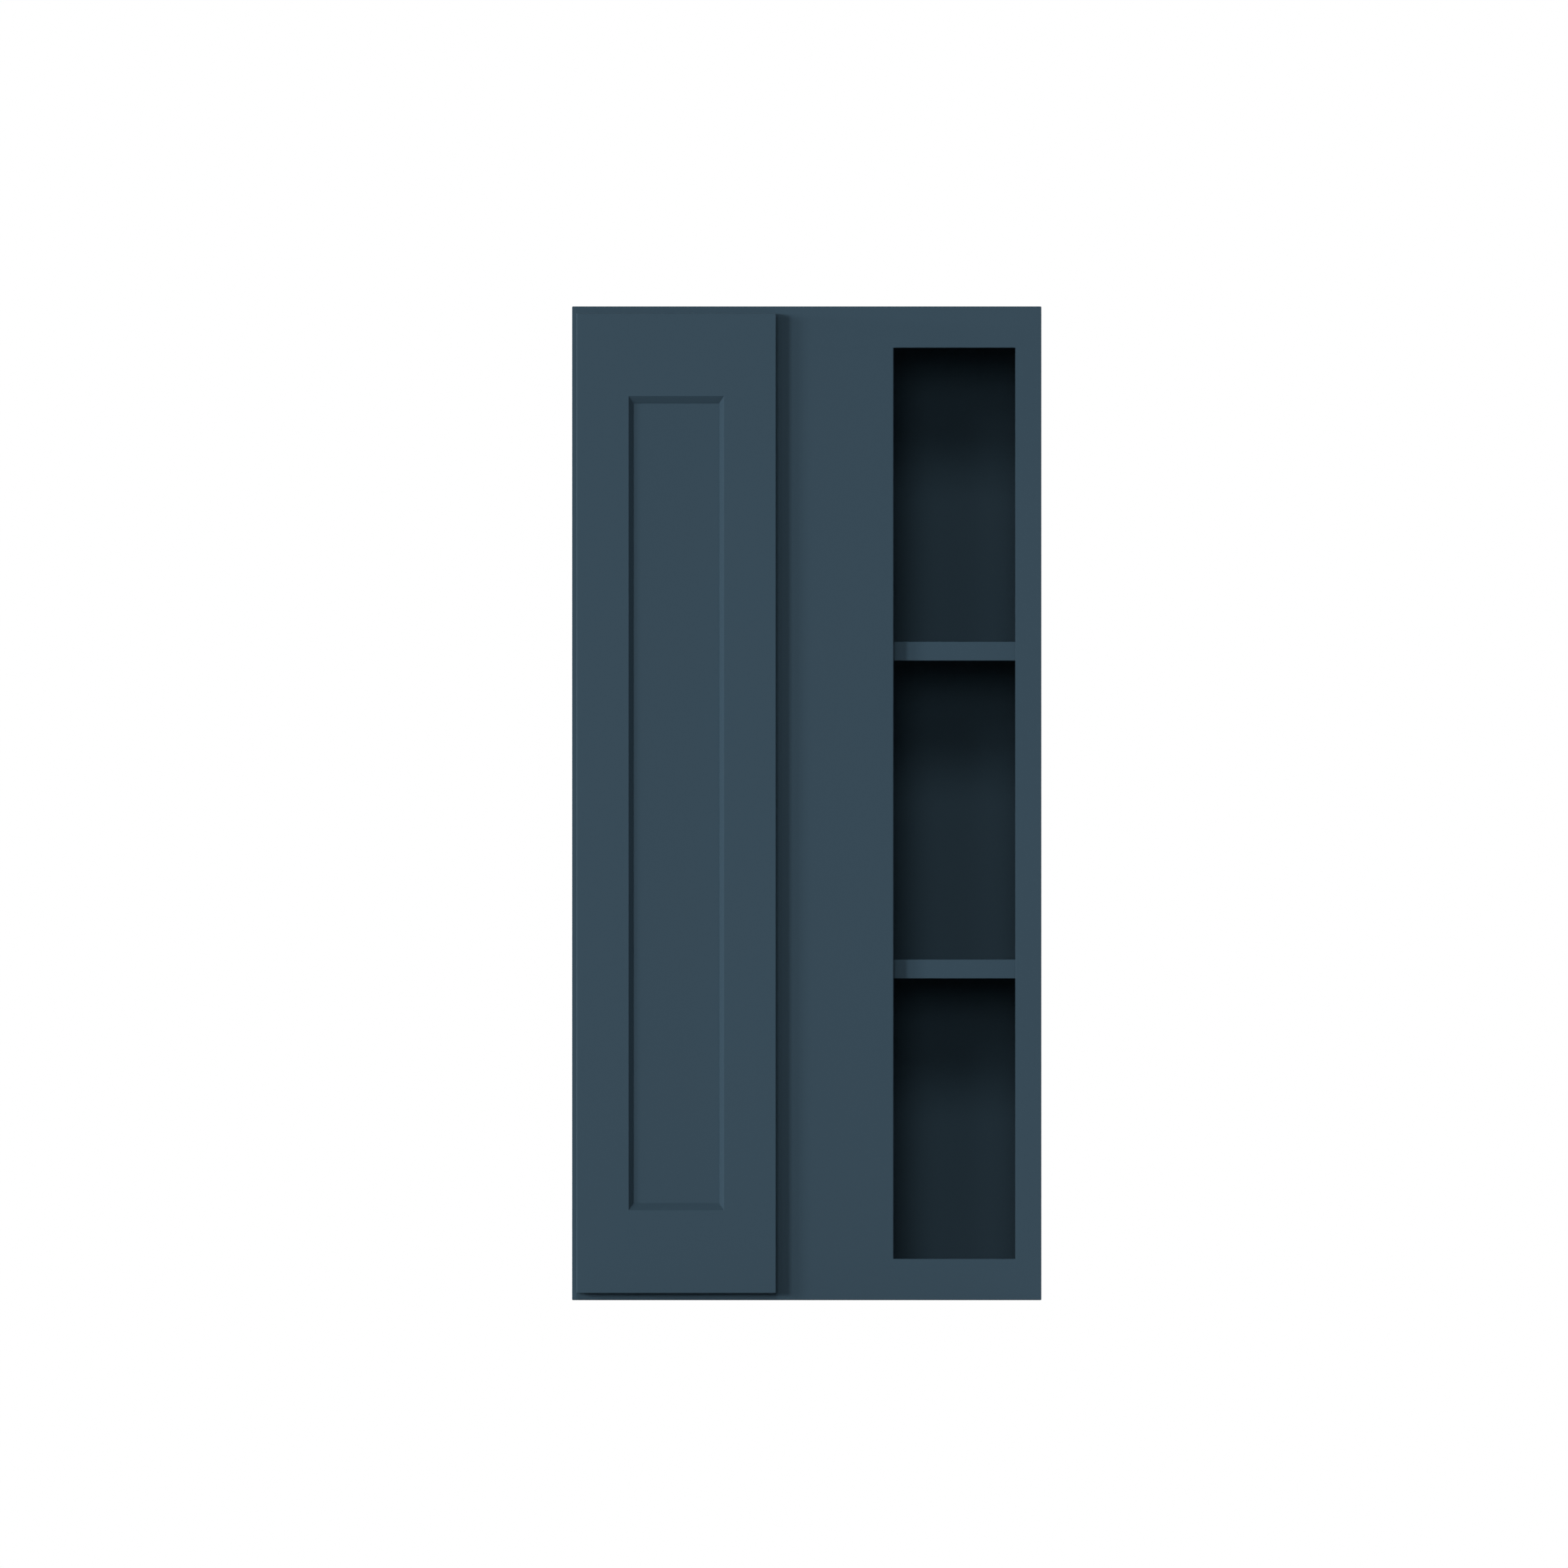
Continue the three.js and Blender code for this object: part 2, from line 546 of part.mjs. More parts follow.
// The pressed cup with its flange, two ears and the bosses that hold the pin. The rim is open
// towards the door's edge, where the arm stands when the door is wide open.
function hingeCup(name, z) {
  const outer = CUP_BORE_RADIUS - FIT;
  const bottom = DOOR_BACK - CUP_BORE_DEPTH + FIT;
  const rim = DOOR_BACK + FLANGE_THICKNESS;
  const seat = DOOR_BACK + GLUE_LINE;
  const earX = CUP_CENTRE + EAR_OFFSET;
  const halfPitch = CUP_SCREW_PITCH / 2;
  const earAt = (height) => circle(height, earX, EAR_RADIUS, 2 * SMALL_ROUND_SIDES);
  const shell = prism(circle(z, CUP_CENTRE, outer, ROUND_SIDES), "y", bottom, rim);
  const flange = joined([
    prism(circle(z, CUP_CENTRE, CUP_BORE_RADIUS + FLANGE_RIM, ROUND_SIDES), "y", seat, rim),
    prism(earAt(z + halfPitch), "y", seat, rim),
    prism(earAt(z - halfPitch), "y", seat, rim),
    box([earX - EAR_RADIUS, earX + EAR_RADIUS], [seat, rim], [z - halfPitch, z + halfPitch]),
  ]);
  const hollow = prism(
    circle(z, CUP_CENTRE, outer - CUP_WALL, ROUND_SIDES), "y", bottom + CUP_WALL, rim + 1,
  );
  const bossRange = grown([HINGE_AXIS_X, HINGE_AXIS_X], PIN_BOSS_WIDTH / 2);
  const bosses = box(bossRange, [bottom, HINGE_AXIS_Y + PIN_BOSS_WIDTH / 2], [z - outer, z + outer])
    .intersect(shell);
  const armWay = grown([z, z], ARM_WIDTH / 2 + 2 * FIT);
  const between = box(grown(bossRange, 1), [bottom + CUP_WALL, rim + 1], armWay);
  const notch = box([DOOR_LEFT, HINGE_AXIS_X], [HINGE_AXIS_Y, rim + 1], armWay);
  const pinHole = prism(
    circle(HINGE_AXIS_X, HINGE_AXIS_Y, HINGE_PIN_RADIUS + FIT, SMALL_ROUND_SIDES),
    "z", z - outer, z + outer,
  );
  const screwHoles = [z + halfPitch, z - halfPitch].map((height) => prism(
    circle(height, earX, SCREW_SHANK_RADIUS + FIT, SMALL_ROUND_SIDES), "y", seat - 1, rim + 1,
  ));
  const cup = cut(joined([shell, flange]), [hollow]).add(bosses.subtract(between.intersect(hollow)));
  return piece(name, cut(cup, [notch, pinHole, ...screwHoles]), nickel);
}

function hingePin(name, z) {
  const outline = circle(HINGE_AXIS_X, HINGE_AXIS_Y, HINGE_PIN_RADIUS, SMALL_ROUND_SIDES);
  return piece(name, prism(outline, "z", z - HINGE_PIN_LENGTH / 2, z + HINGE_PIN_LENGTH / 2), nickel);
}

// The bent arm: an eye round the pin, a leg across the cup, a leg out of it and a screwed plate.
function hingeArm(name, z) {
  const wide = grown([z, z], ARM_WIDTH / 2);
  const tall = grown([z, z], PLATE_HEIGHT / 2);
  const metal = [LEFT_STILE_EDGE + GLUE_LINE, LEFT_STILE_EDGE + GLUE_LINE + ARM_THICKNESS];
  const cross = grown([HINGE_AXIS_Y, HINGE_AXIS_Y], ARM_THICKNESS / 2);
  const eye = prism(circle(HINGE_AXIS_X, HINGE_AXIS_Y, EYE_RADIUS, 2 * SMALL_ROUND_SIDES), "z", ...wide);
  const body = joined([
    eye,
    box([HINGE_AXIS_X, metal[1]], cross, wide),
    box(metal, [cross[0], PLATE_BACK], wide),
    box(metal, [PLATE_FRONT, PLATE_BACK], tall),
  ]);
  const pinHole = prism(
    circle(HINGE_AXIS_X, HINGE_AXIS_Y, HINGE_PIN_RADIUS + FIT, SMALL_ROUND_SIDES),
    "z", wide[0] - 1, wide[1] + 1,
  );
  const screwHoles = grown([z, z], PLATE_SCREW_PITCH / 2).map((height) => prism(
    circle(PLATE_SCREW_Y, height, SCREW_SHANK_RADIUS + FIT, SMALL_ROUND_SIDES),
    "x", metal[0] - 1, metal[1] + 1,
  ));
  return piece(name, cut(body, [pinHole, ...screwHoles]), nickel);
}

// A pan-head screw, with the underside of its head at the origin and its point along -Y.
function screwShape(length) {
  return turned([
    [-length, 0],
    [-length + SCREW_SHANK_RADIUS, SCREW_SHANK_RADIUS],
    [0, SCREW_SHANK_RADIUS],
    [0, SCREW_HEAD_RADIUS],
    [SCREW_HEAD_HEIGHT / 2, SCREW_HEAD_RADIUS],
    [SCREW_HEAD_HEIGHT, SCREW_HEAD_RADIUS * 0.6],
    [SCREW_HEAD_HEIGHT, 0],
  ], SMALL_ROUND_SIDES);
}

// Screws that hold the cups to the door point forwards, into its back.
function cupScrews() {
  const head = DOOR_BACK + FLANGE_THICKNESS + FIT;
  const shape = screwShape(head - DOOR_BACK + CUP_SCREW_LENGTH);
  return hingeScrewHeights(CUP_SCREW_PITCH).map(({ hinge, place, z }) => {
    const screw = new THREE.Mesh(shape, nickel);
    screw.name = `${hinge}_hinge_cup_screw_${place}`;
    screw.position.set(CUP_CENTRE + EAR_OFFSET, head, z);
    return screw;
  });
}

// Screws that hold the arms to the frame point sideways, into the edge of the left stile.
function plateScrews() {
  const head = LEFT_STILE_EDGE + GLUE_LINE + ARM_THICKNESS + FIT;
  const shape = screwShape(head - LEFT_STILE_EDGE + PLATE_SCREW_LENGTH);
  return hingeScrewHeights(PLATE_SCREW_PITCH).map(({ hinge, place, z }) => {
    const screw = new THREE.Mesh(shape, nickel);
    screw.name = `${hinge}_hinge_plate_screw_${place}`;
    screw.rotation.z = -Math.PI / 2;
    screw.position.set(head, PLATE_SCREW_Y, z);
    return screw;
  });
}

function hinges() {
  const hardware = Object.entries(HINGE_HEIGHTS).flatMap(([hinge, z]) => [
    hingeCup(`${hinge}_hinge_cup`, z),
    hingePin(`${hinge}_hinge_pin`, z),
    hingeArm(`${hinge}_hinge_arm`, z),
  ]);
  return [...hardware, ...cupScrews(), ...plateScrews()];
}

// ---------------------------------------------------------------------------------------------
// Assembly
// ---------------------------------------------------------------------------------------------

const cabinet = new THREE.Group();
cabinet.add(...faceFrame(), ...carcass(), ...shelves(), ...door(), ...hinges());

export default cabinet;
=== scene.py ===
# %% [markdown]
# # A painted corner wall cabinet
# This lesson dresses a cabinet whose boards, hinges and shelves already have their real sizes. It
# makes each visible board again with eased edges, gives the metal its pressed and turned shapes,
# and mixes a paint, a bare wood, a plywood edge and a nickel finish from procedural nodes.
# The front faces -Y, the wall is the plane y = 0, +Z is up and every length is in metres.

# %% Load the cabinet's frame
import math

import bpy
import numpy as np
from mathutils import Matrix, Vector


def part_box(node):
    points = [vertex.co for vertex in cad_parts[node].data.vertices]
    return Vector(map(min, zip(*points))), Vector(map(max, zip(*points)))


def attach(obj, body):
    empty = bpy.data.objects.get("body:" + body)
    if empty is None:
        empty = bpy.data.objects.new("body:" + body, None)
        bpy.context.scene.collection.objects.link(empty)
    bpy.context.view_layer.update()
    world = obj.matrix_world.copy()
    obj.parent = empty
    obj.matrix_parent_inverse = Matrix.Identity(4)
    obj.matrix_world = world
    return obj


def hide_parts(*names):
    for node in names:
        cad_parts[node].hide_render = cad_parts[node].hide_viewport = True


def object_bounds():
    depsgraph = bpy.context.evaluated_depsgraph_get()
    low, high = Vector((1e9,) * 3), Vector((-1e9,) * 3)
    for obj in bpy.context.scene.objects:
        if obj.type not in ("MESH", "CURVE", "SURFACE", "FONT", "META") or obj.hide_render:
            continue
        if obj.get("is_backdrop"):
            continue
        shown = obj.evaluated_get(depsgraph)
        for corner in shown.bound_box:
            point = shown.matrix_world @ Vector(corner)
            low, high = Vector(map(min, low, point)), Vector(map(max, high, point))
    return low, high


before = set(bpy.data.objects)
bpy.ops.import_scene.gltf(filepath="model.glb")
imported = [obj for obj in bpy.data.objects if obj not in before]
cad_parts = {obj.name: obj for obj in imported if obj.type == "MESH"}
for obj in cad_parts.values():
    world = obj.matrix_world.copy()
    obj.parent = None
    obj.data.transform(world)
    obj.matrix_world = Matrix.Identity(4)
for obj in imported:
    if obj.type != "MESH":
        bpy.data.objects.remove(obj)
cad_low, cad_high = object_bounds()
scene = bpy.context.scene
print(len(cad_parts), "nodes in a box from", tuple(cad_low), "to", tuple(cad_high))


# %% [markdown]
# ## The camera
# The picture is a straight elevation with no perspective: the shelf edges inside are as long as
# the opening in front of them, and no side of the cabinet shows. An orthographic camera does
# that. Its scale follows from one real length and the pixels that it covers in the picture.

# %% Camera
PHOTO_SIDE = 1932  # pixels along each side of the picture
PHOTO_CABINET_X = (705.2, 1282.8)  # left and right edges of the face frame, in pixels
PHOTO_CABINET_Z = (377.5, 1602.0)  # its top and bottom edges
CAMERA_DISTANCE = 3.0

bottom_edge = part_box("left_stile")[0].z
top_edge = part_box("left_stile")[1].z
metres_per_pixel = (top_edge - bottom_edge) / (PHOTO_CABINET_Z[1] - PHOTO_CABINET_Z[0])
middle_x = sum(PHOTO_CABINET_X) / 2
middle_z = sum(PHOTO_CABINET_Z) / 2


def new_object(name, data):
    """Makes an object of a mesh, a lamp or a camera and puts it in the scene."""
    thing = bpy.data.objects.new(name, data)
    scene.collection.objects.link(thing)
    return thing


camera_data = bpy.data.cameras.new("camera")
camera_data.type = "ORTHO"
camera_data.ortho_scale = PHOTO_SIDE * metres_per_pixel
camera = new_object("camera", camera_data)
camera.location = (
    (PHOTO_SIDE / 2 - middle_x) * metres_per_pixel,
    cad_low.y - CAMERA_DISTANCE,
    (top_edge + bottom_edge) / 2 + (middle_z - PHOTO_SIDE / 2) * metres_per_pixel,
)
camera.rotation_euler = (math.pi / 2, 0, 0)
scene.camera = camera
scene.view_settings.view_transform = "Standard"
print("one pixel of the picture is", round(metres_per_pixel * 1000, 4), "mm")


# %% [markdown]
# ## Node helpers
# Every finish below is a small node tree, and each of its inputs is either a constant or a wire
# from another node. One helper tells the two apart, so that a node and all that goes into it fit
# on one line. A constant stands on the shader's own socket, where a reader looks for it.

# %% Nodes and wires
def feed(tree, socket, value):
    """Gives a socket its value: a wire from another node, or a constant."""
    if isinstance(value, bpy.types.NodeSocket):
        tree.links.new(value, socket)
    else:
        socket.default_value = value


def feed_all(tree, node, **values):
    """Feeds a node's inputs by name, with _ for a space."""
    for name, value in values.items():
        feed(tree, node.inputs[name.replace("_", " ")], value)
    return node


def add_node(tree, kind, settings=None, **values):
    """Adds a node. The settings are its own properties, and the values go to its inputs."""
    node = tree.nodes.new(kind)
    for name, value in (settings or {}).items():
        setattr(node, name, value)
    return feed_all(tree, node, **values)


def emptied(owner):
    """The node tree of a material or a world, with nothing left in it."""
    owner.use_nodes = True
    owner.node_tree.nodes.clear()
    return owner.node_tree


trial = bpy.data.materials.new("trial")
trial_node = add_node(emptied(trial), "ShaderNodeTexNoise", Scale=7.0)
print("a trial", trial_node.bl_label, "got the scale", trial_node.inputs["Scale"].default_value)
bpy.data.materials.remove(trial)

# %% Start a material
def calculated(tree, operation, first, second):
    """The result of a math node with two inputs."""
    node = add_node(tree, "ShaderNodeMath", {"operation": operation})
    feed(tree, node.inputs[0], first)
    feed(tree, node.inputs[1], second)
    return node.outputs[0]


def new_material(name, recipe, *details):
    """A Principled material. The recipe fills its node tree and returns the shader's inputs."""
    material = bpy.data.materials.new(name)
    tree = emptied(material)
    shader = tree.nodes.new("ShaderNodeBsdfPrincipled")
    add_node(tree, "ShaderNodeOutputMaterial", Surface=shader.outputs["BSDF"])
    feed_all(tree, shader, **recipe(tree, *details))
    print(name, "has", len(tree.nodes), "nodes")
    return material


trial = new_material("trial", lambda tree: {"Roughness": calculated(tree, "ADD", 0.2, 0.3)})
print("they are", ", ".join(node.bl_label for node in trial.node_tree.nodes))
bpy.data.materials.remove(trial)


# %% [markdown]
# ## Patterns, colours and relief
# Noise is the one pattern that paint, wood, metal and polymer all need. It reads Object
# coordinates, so it stays put on a board when the door swings, and it has no seams, which a
# picture wrapped round a board would have. Its scale is in cycles per metre. Dividing one
# coordinate by a factor draws the pattern out along that axis, and that makes grain.

# %% Patterns, colours and relief
def noise(tree, scale, detail=2.0, roughness=0.5, along=None, stretch=1.0):
    """A noise pattern's value, from 0 to 1, drawn out along an axis by a factor."""
    place = tree.nodes.new("ShaderNodeTexCoord").outputs["Object"]
    factors = [1 / stretch if axis == along else 1.0 for axis in "xyz"]
    mapping = add_node(tree, "ShaderNodeMapping", Vector=place, Scale=factors)
    node = add_node(
        tree, "ShaderNodeTexNoise",
        Vector=mapping.outputs["Vector"], Scale=scale, Detail=detail, Roughness=roughness,
    )
    return node.outputs["Fac"]


def spread(tree, value, low, high, from_low=0.3, from_high=0.7):
    """Maps a pattern's middle stretch onto the range from low to high."""
    node = add_node(
        tree, "ShaderNodeMapRange",
        Value=value, From_Min=from_low, From_Max=from_high, To_Min=low, To_Max=high,
    )
    return node.outputs["Result"]


def blend(tree, factor, first, second):
    """Mixes two colours, each a triple or a wire, by a factor."""
    node = add_node(tree, "ShaderNodeMix", {"data_type": "RGBA"})
    feed(tree, node.inputs["Factor"], factor)
    sockets = [socket for socket in node.inputs if socket.type == "RGBA"]
    for socket, colour in zip(sockets, (first, second)):
        wired = isinstance(colour, bpy.types.NodeSocket)
        feed(tree, socket, colour if wired else (*colour, 1.0))
    return next(socket for socket in node.outputs if socket.type == "RGBA")


def relief(tree, height, depth, under=None):
    """A normal from a height pattern whose full range is this deep, in metres."""
    node = add_node(tree, "ShaderNodeBump", Height=height, Distance=depth, Strength=1.0)
    if under is not None:
        feed(tree, node.inputs["Normal"], under)
    return node.outputs["Normal"]


def bumpy(tree):
    """A recipe with nothing but a relief from noise."""
    return {"Normal": relief(tree, spread(tree, noise(tree, 100.0), 0, 1), 0.001)}


bpy.data.materials.remove(new_material("trial relief", bumpy))


# %% [markdown]
# ## Slate-blue paint
# Sprayed cabinet paint is one colour, but never a perfect plane: the film dries with a fine
# ripple, and the long grain of the wood shows through it faintly. A flat colour would look like
# plastic, and a picture of paint would only fit one board. So noise gives three things: a cloudy
# drift of a few hundredths in the colour, a ripple about a millimetre wide, and a grain that is
# drawn out along the board. Its direction differs between stiles and rails, so the finish is
# a function of it. The paint is matt, with only a trace of shine.

# %% Paint
PAINT_COLOUR = np.array([0.0349, 0.0630, 0.0870])
PAINT_DRIFT = 0.035  # share by which the colour drifts to either side
PAINT_ROUGHNESS = (0.66, 0.76)
PAINT_SHINE = 0.06
CLOUD_SCALE = 9.0
RIPPLE_SCALE = 700.0
RIPPLE_DEPTH = 0.00003
GRAIN_SCALE = 420.0
GRAIN_DEPTH = 0.00005
GRAIN_STRETCH = 18.0


def paint(tree, grain):
    """Matt paint over wood whose grain runs along the named axis."""
    clouds = noise(tree, CLOUD_SCALE, detail=3)
    grain_lines = noise(tree, GRAIN_SCALE, 3, roughness=0.6, along=grain, stretch=GRAIN_STRETCH)
    ripple = noise(tree, RIPPLE_SCALE, detail=1)
    darker = PAINT_COLOUR * (1 - PAINT_DRIFT)
    lighter = PAINT_COLOUR * (1 + PAINT_DRIFT)
    grain_relief = relief(tree, grain_lines, GRAIN_DEPTH)
    return dict(
        Base_Color=blend(tree, clouds, darker, lighter),
        Roughness=spread(tree, clouds, *PAINT_ROUGHNESS),
        Specular_IOR_Level=PAINT_SHINE,
        Normal=relief(tree, ripple, RIPPLE_DEPTH, grain_relief),
    )


paint_along = {axis: new_material(f"slate_paint_grain_{axis}", paint, axis) for axis in "xz"}


# %% [markdown]
# ## Bare wood and plywood edges
# What stands against the wall is never painted. The hanging rails and the back's rear face are
# sanded birch: pale, with darker pores and slow waves of colour along the grain. The edges of the
# plywood show its layers, which turn light and dark in turn because their grain crosses. A
# triangle wave across the sheet's thickness gives the layers, and noise breaks their glue lines.

# %% Bare wood
BIRCH_PALE = (0.70, 0.52, 0.33)
BIRCH_MIDDLE = (0.62, 0.44, 0.26)
BIRCH_DARK = (0.52, 0.35, 0.19)
BIRCH_PORE = (0.28, 0.17, 0.08)
BIRCH_ROUGHNESS = (0.62, 0.78)
WOOD_SHINE = 0.25
WAVE_SCALE, WAVE_STRETCH = 26.0, 14.0
FIBRE_SCALE, FIBRE_STRETCH = 520.0, 30.0
FIBRE_SHARE = 0.45
FIBRE_DEPTH = 0.00008
PORE_SCALE, PORE_STRETCH = 1500.0, 22.0
PORE_SHARE = 0.55
PORE_PEAKS = (0.60, 0.72)  # only the peaks of the noise become pores


def birch(tree, grain):
    """Sanded birch with its grain along the named axis."""
    waves = noise(tree, WAVE_SCALE, detail=3, along=grain, stretch=WAVE_STRETCH)
    fibres = noise(tree, FIBRE_SCALE, 3, roughness=0.65, along=grain, stretch=FIBRE_STRETCH)
    specks = noise(tree, PORE_SCALE, detail=1, along=grain, stretch=PORE_STRETCH)
    pores = spread(tree, specks, 0, PORE_SHARE, *PORE_PEAKS)
    figure = blend(tree, spread(tree, waves, 0, 1), BIRCH_PALE, BIRCH_MIDDLE)
    fibrous = blend(tree, spread(tree, fibres, 0, FIBRE_SHARE), figure, BIRCH_DARK)
    return dict(
        Base_Color=blend(tree, pores, fibrous, BIRCH_PORE),
        Roughness=spread(tree, fibres, *BIRCH_ROUGHNESS),
        Specular_IOR_Level=WOOD_SHINE,
        Normal=relief(tree, fibres, FIBRE_DEPTH),
    )


birch_along = {axis: new_material(f"bare_birch_grain_{axis}", birch, axis) for axis in "xz"}

# %% Plywood edges
LAYER_LIGHT = (0.62, 0.44, 0.26)
LAYER_DARK = (0.30, 0.18, 0.09)
LAYER_THICKNESS = 0.00141  # nine layers in a 12.7 mm sheet
LAYER_TURN = (0.4 * LAYER_THICKNESS, 0.6 * LAYER_THICKNESS)  # where one turns into the next
EDGE_ROUGHNESS = 0.8
EDGE_SHINE = 0.2
END_GRAIN_SCALE = 1400.0
END_GRAIN_SHARE = 0.5
END_GRAIN_DEPTH = 0.00015


def layered_edge(tree, across):
    """Cut edge of birch plywood whose layers are stacked along the named axis."""
    place = tree.nodes.new("ShaderNodeTexCoord").outputs["Object"]
    height = add_node(tree, "ShaderNodeSeparateXYZ", Vector=place).outputs[across.upper()]
    wave = calculated(tree, "PINGPONG", height, LAYER_THICKNESS)
    end_grain = noise(tree, END_GRAIN_SCALE, detail=3, roughness=0.7)
    layers = blend(tree, spread(tree, wave, 0, 1, *LAYER_TURN), LAYER_LIGHT, LAYER_DARK)
    return dict(
        Base_Color=blend(tree, spread(tree, end_grain, 0, END_GRAIN_SHARE), layers, LAYER_LIGHT),
        Roughness=EDGE_ROUGHNESS,
        Specular_IOR_Level=EDGE_SHINE,
        Normal=relief(tree, end_grain, END_GRAIN_DEPTH),
    )


plywood_edge = {axis: new_material(f"plywood_edge_{axis}", layered_edge, axis) for axis in "xz"}


# %% [markdown]
# ## Nickel
# Hinges, pins and screws are steel with a thin nickel plate. The plate is bright but no mirror:
# rolling leaves fine lines in the sheet, and handling leaves dull patches. Both go into
# roughness and a very shallow relief, and the colour stays a warm grey.

# %% Nickel
NICKEL_DULL = (0.58, 0.56, 0.52)
NICKEL_BRIGHT = (0.66, 0.64, 0.60)
NICKEL_ROUGHNESS = (0.27, 0.35)
PATCH_SCALE = 260.0
ROLLING_SCALE, ROLLING_STRETCH = 5200.0, 16.0
ROLLING_DEPTH = 0.000006


def nickel(tree):
    """Nickel plate on rolled steel."""
    patches = noise(tree, PATCH_SCALE)
    lines = noise(tree, ROLLING_SCALE, along="z", stretch=ROLLING_STRETCH)
    return dict(
        Base_Color=blend(tree, patches, NICKEL_DULL, NICKEL_BRIGHT),
        Roughness=spread(tree, patches, *NICKEL_ROUGHNESS),
        Metallic=1.0,
        Normal=relief(tree, lines, ROLLING_DEPTH),
    )


nickel_plate = new_material("nickel_plate", nickel)


# %% [markdown]
# ## Bumper polymer
# The two dots that cushion the door are a clear soft polymer. Over paint they read as a milky
# grey: part of the light passes through, and haze scatters the rest.

# %% Bumper polymer
POLYMER_GREY = (0.52, 0.56, 0.56)
POLYMER_MILKY = (0.66, 0.69, 0.68)
POLYMER_ROUGHNESS = (0.25, 0.40)
POLYMER_CLEARNESS = 0.35
POLYMER_IOR = 1.45
HAZE_SCALE = 900.0


def soft_polymer(tree):
    """Clear polymer with a slight haze."""
    haze = noise(tree, HAZE_SCALE)
    return dict(
        Base_Color=blend(tree, haze, POLYMER_GREY, POLYMER_MILKY),
        Roughness=spread(tree, haze, *POLYMER_ROUGHNESS),
        Transmission_Weight=POLYMER_CLEARNESS,
        IOR=POLYMER_IOR,
    )


clear_polymer = new_material("clear_polymer", soft_polymer)


# %% [markdown]
# ## From arrays to a mesh
# A shape here is an array of points and a list of faces. One helper closes a stack of rings into
# a skin, and another makes the mesh with its faces turned outwards. The sign of the enclosed
# volume tells which way the faces look: it is the sum over all triangles of one corner dotted
# with the other two's cross product, divided by six.

# %% From arrays to a mesh
def skin(rings, closed=False, cap=None):
    """Faces over a stack of rings, each ring closed on itself.

    rings has the shape (stations, points round, 3). The two end rings are capped, or joined to
    each other if closed is true. A cap is one polygon, or several, each a list of places round
    the ring. Returns the points and a list of faces.
    """
    index = np.arange(rings.shape[0] * rings.shape[1]).reshape(rings.shape[:2])
    lower = index if closed else index[:-1]
    upper = np.roll(index, -1, axis=0) if closed else index[1:]
    beside = [lower, np.roll(lower, -1, axis=1), np.roll(upper, -1, axis=1), upper]
    faces = np.stack(beside, axis=-1).reshape(-1, 4).tolist()
    if not closed:
        for polygon in cap or [list(range(rings.shape[1]))]:
            faces += [index[0, polygon[::-1]].tolist(), index[-1, polygon].tolist()]
    return rings.reshape(-1, 3), faces


unit_square = np.array([[0, 0, 0], [1, 0, 0], [1, 1, 0], [0, 1, 0]], dtype=float)
unit_skin = skin(np.stack([unit_square, unit_square + [0, 0, 1]]))
print("the skin of a cube has", len(unit_skin[0]), "points and", len(unit_skin[1]), "faces")

# %% Meshes that face outwards
def triples(items, name, kind=float):
    """A property of all vertices or faces, as an array with three columns."""
    flat = np.empty(len(items) * 3, kind)
    items.foreach_get(name, flat)
    return flat.reshape(-1, 3)


def enclosed_volume(mesh):
    """The mesh's volume, positive if its faces look outwards."""
    mesh.calc_loop_triangles()
    corners = triples(mesh.loop_triangles, "vertices", np.int32)
    a, b, c = triples(mesh.vertices, "co")[corners].transpose(1, 0, 2)
    return float(np.einsum("ij,ij->i", a, np.cross(b, c)).sum() / 6)


def mesh_of(*skins):
    """One mesh from several skins, each turned outwards by itself."""
    points, faces, start = [], [], 0
    for skin_points, skin_faces in skins:
        probe = bpy.data.meshes.new("probe")
        probe.from_pydata(skin_points, [], skin_faces)
        turn = -1 if enclosed_volume(probe) < 0 else 1
        bpy.data.meshes.remove(probe)
        points.append(skin_points)
        faces += [[start + corner for corner in face][::turn] for face in skin_faces]
        start += len(skin_points)
    mesh = bpy.data.meshes.new("mesh")
    mesh.from_pydata(np.concatenate(points), [], faces)
    return mesh


unit_cube = mesh_of(unit_skin)
print("a test cube with sides of 1 encloses", round(enclosed_volume(unit_cube), 6))


# %% [markdown]
# ## Joining, cutting and finishing
# Where one part goes through another, a Boolean modifier joins or cuts them. Its result is
# copied off at once, so that the piece keeps a plain mesh. A finished piece is shaded smooth up to
# a set angle, with normals weighted by area, because these keep the flats of a board flat and let
# only its eased edges turn. It then rides on its body and stands for its node.

# %% Join and cut
def combined(mesh, other, operation):
    """Two meshes joined (UNION), or the first cut by the other (DIFFERENCE, INTERSECT)."""
    holder = new_object("holder", mesh)
    tool = new_object("tool", other)
    modifier = holder.modifiers.new("combine", "BOOLEAN")
    modifier.operation = operation
    modifier.object = tool
    modifier.solver = "EXACT"
    bpy.context.view_layer.update()
    evaluated = holder.evaluated_get(bpy.context.evaluated_depsgraph_get())
    result = bpy.data.meshes.new_from_object(evaluated)
    for temporary in (holder, tool):
        bpy.data.objects.remove(temporary)
    return result


block = mesh_of((unit_skin[0] + 0.5, unit_skin[1]))
bitten = combined(unit_cube, block, "DIFFERENCE")
print("with a corner cut out it encloses", round(enclosed_volume(bitten), 6))
for leftover in (unit_cube, block, bitten):
    bpy.data.meshes.remove(leftover)

# %% Finished pieces
SHARP_ABOVE = math.radians(40)


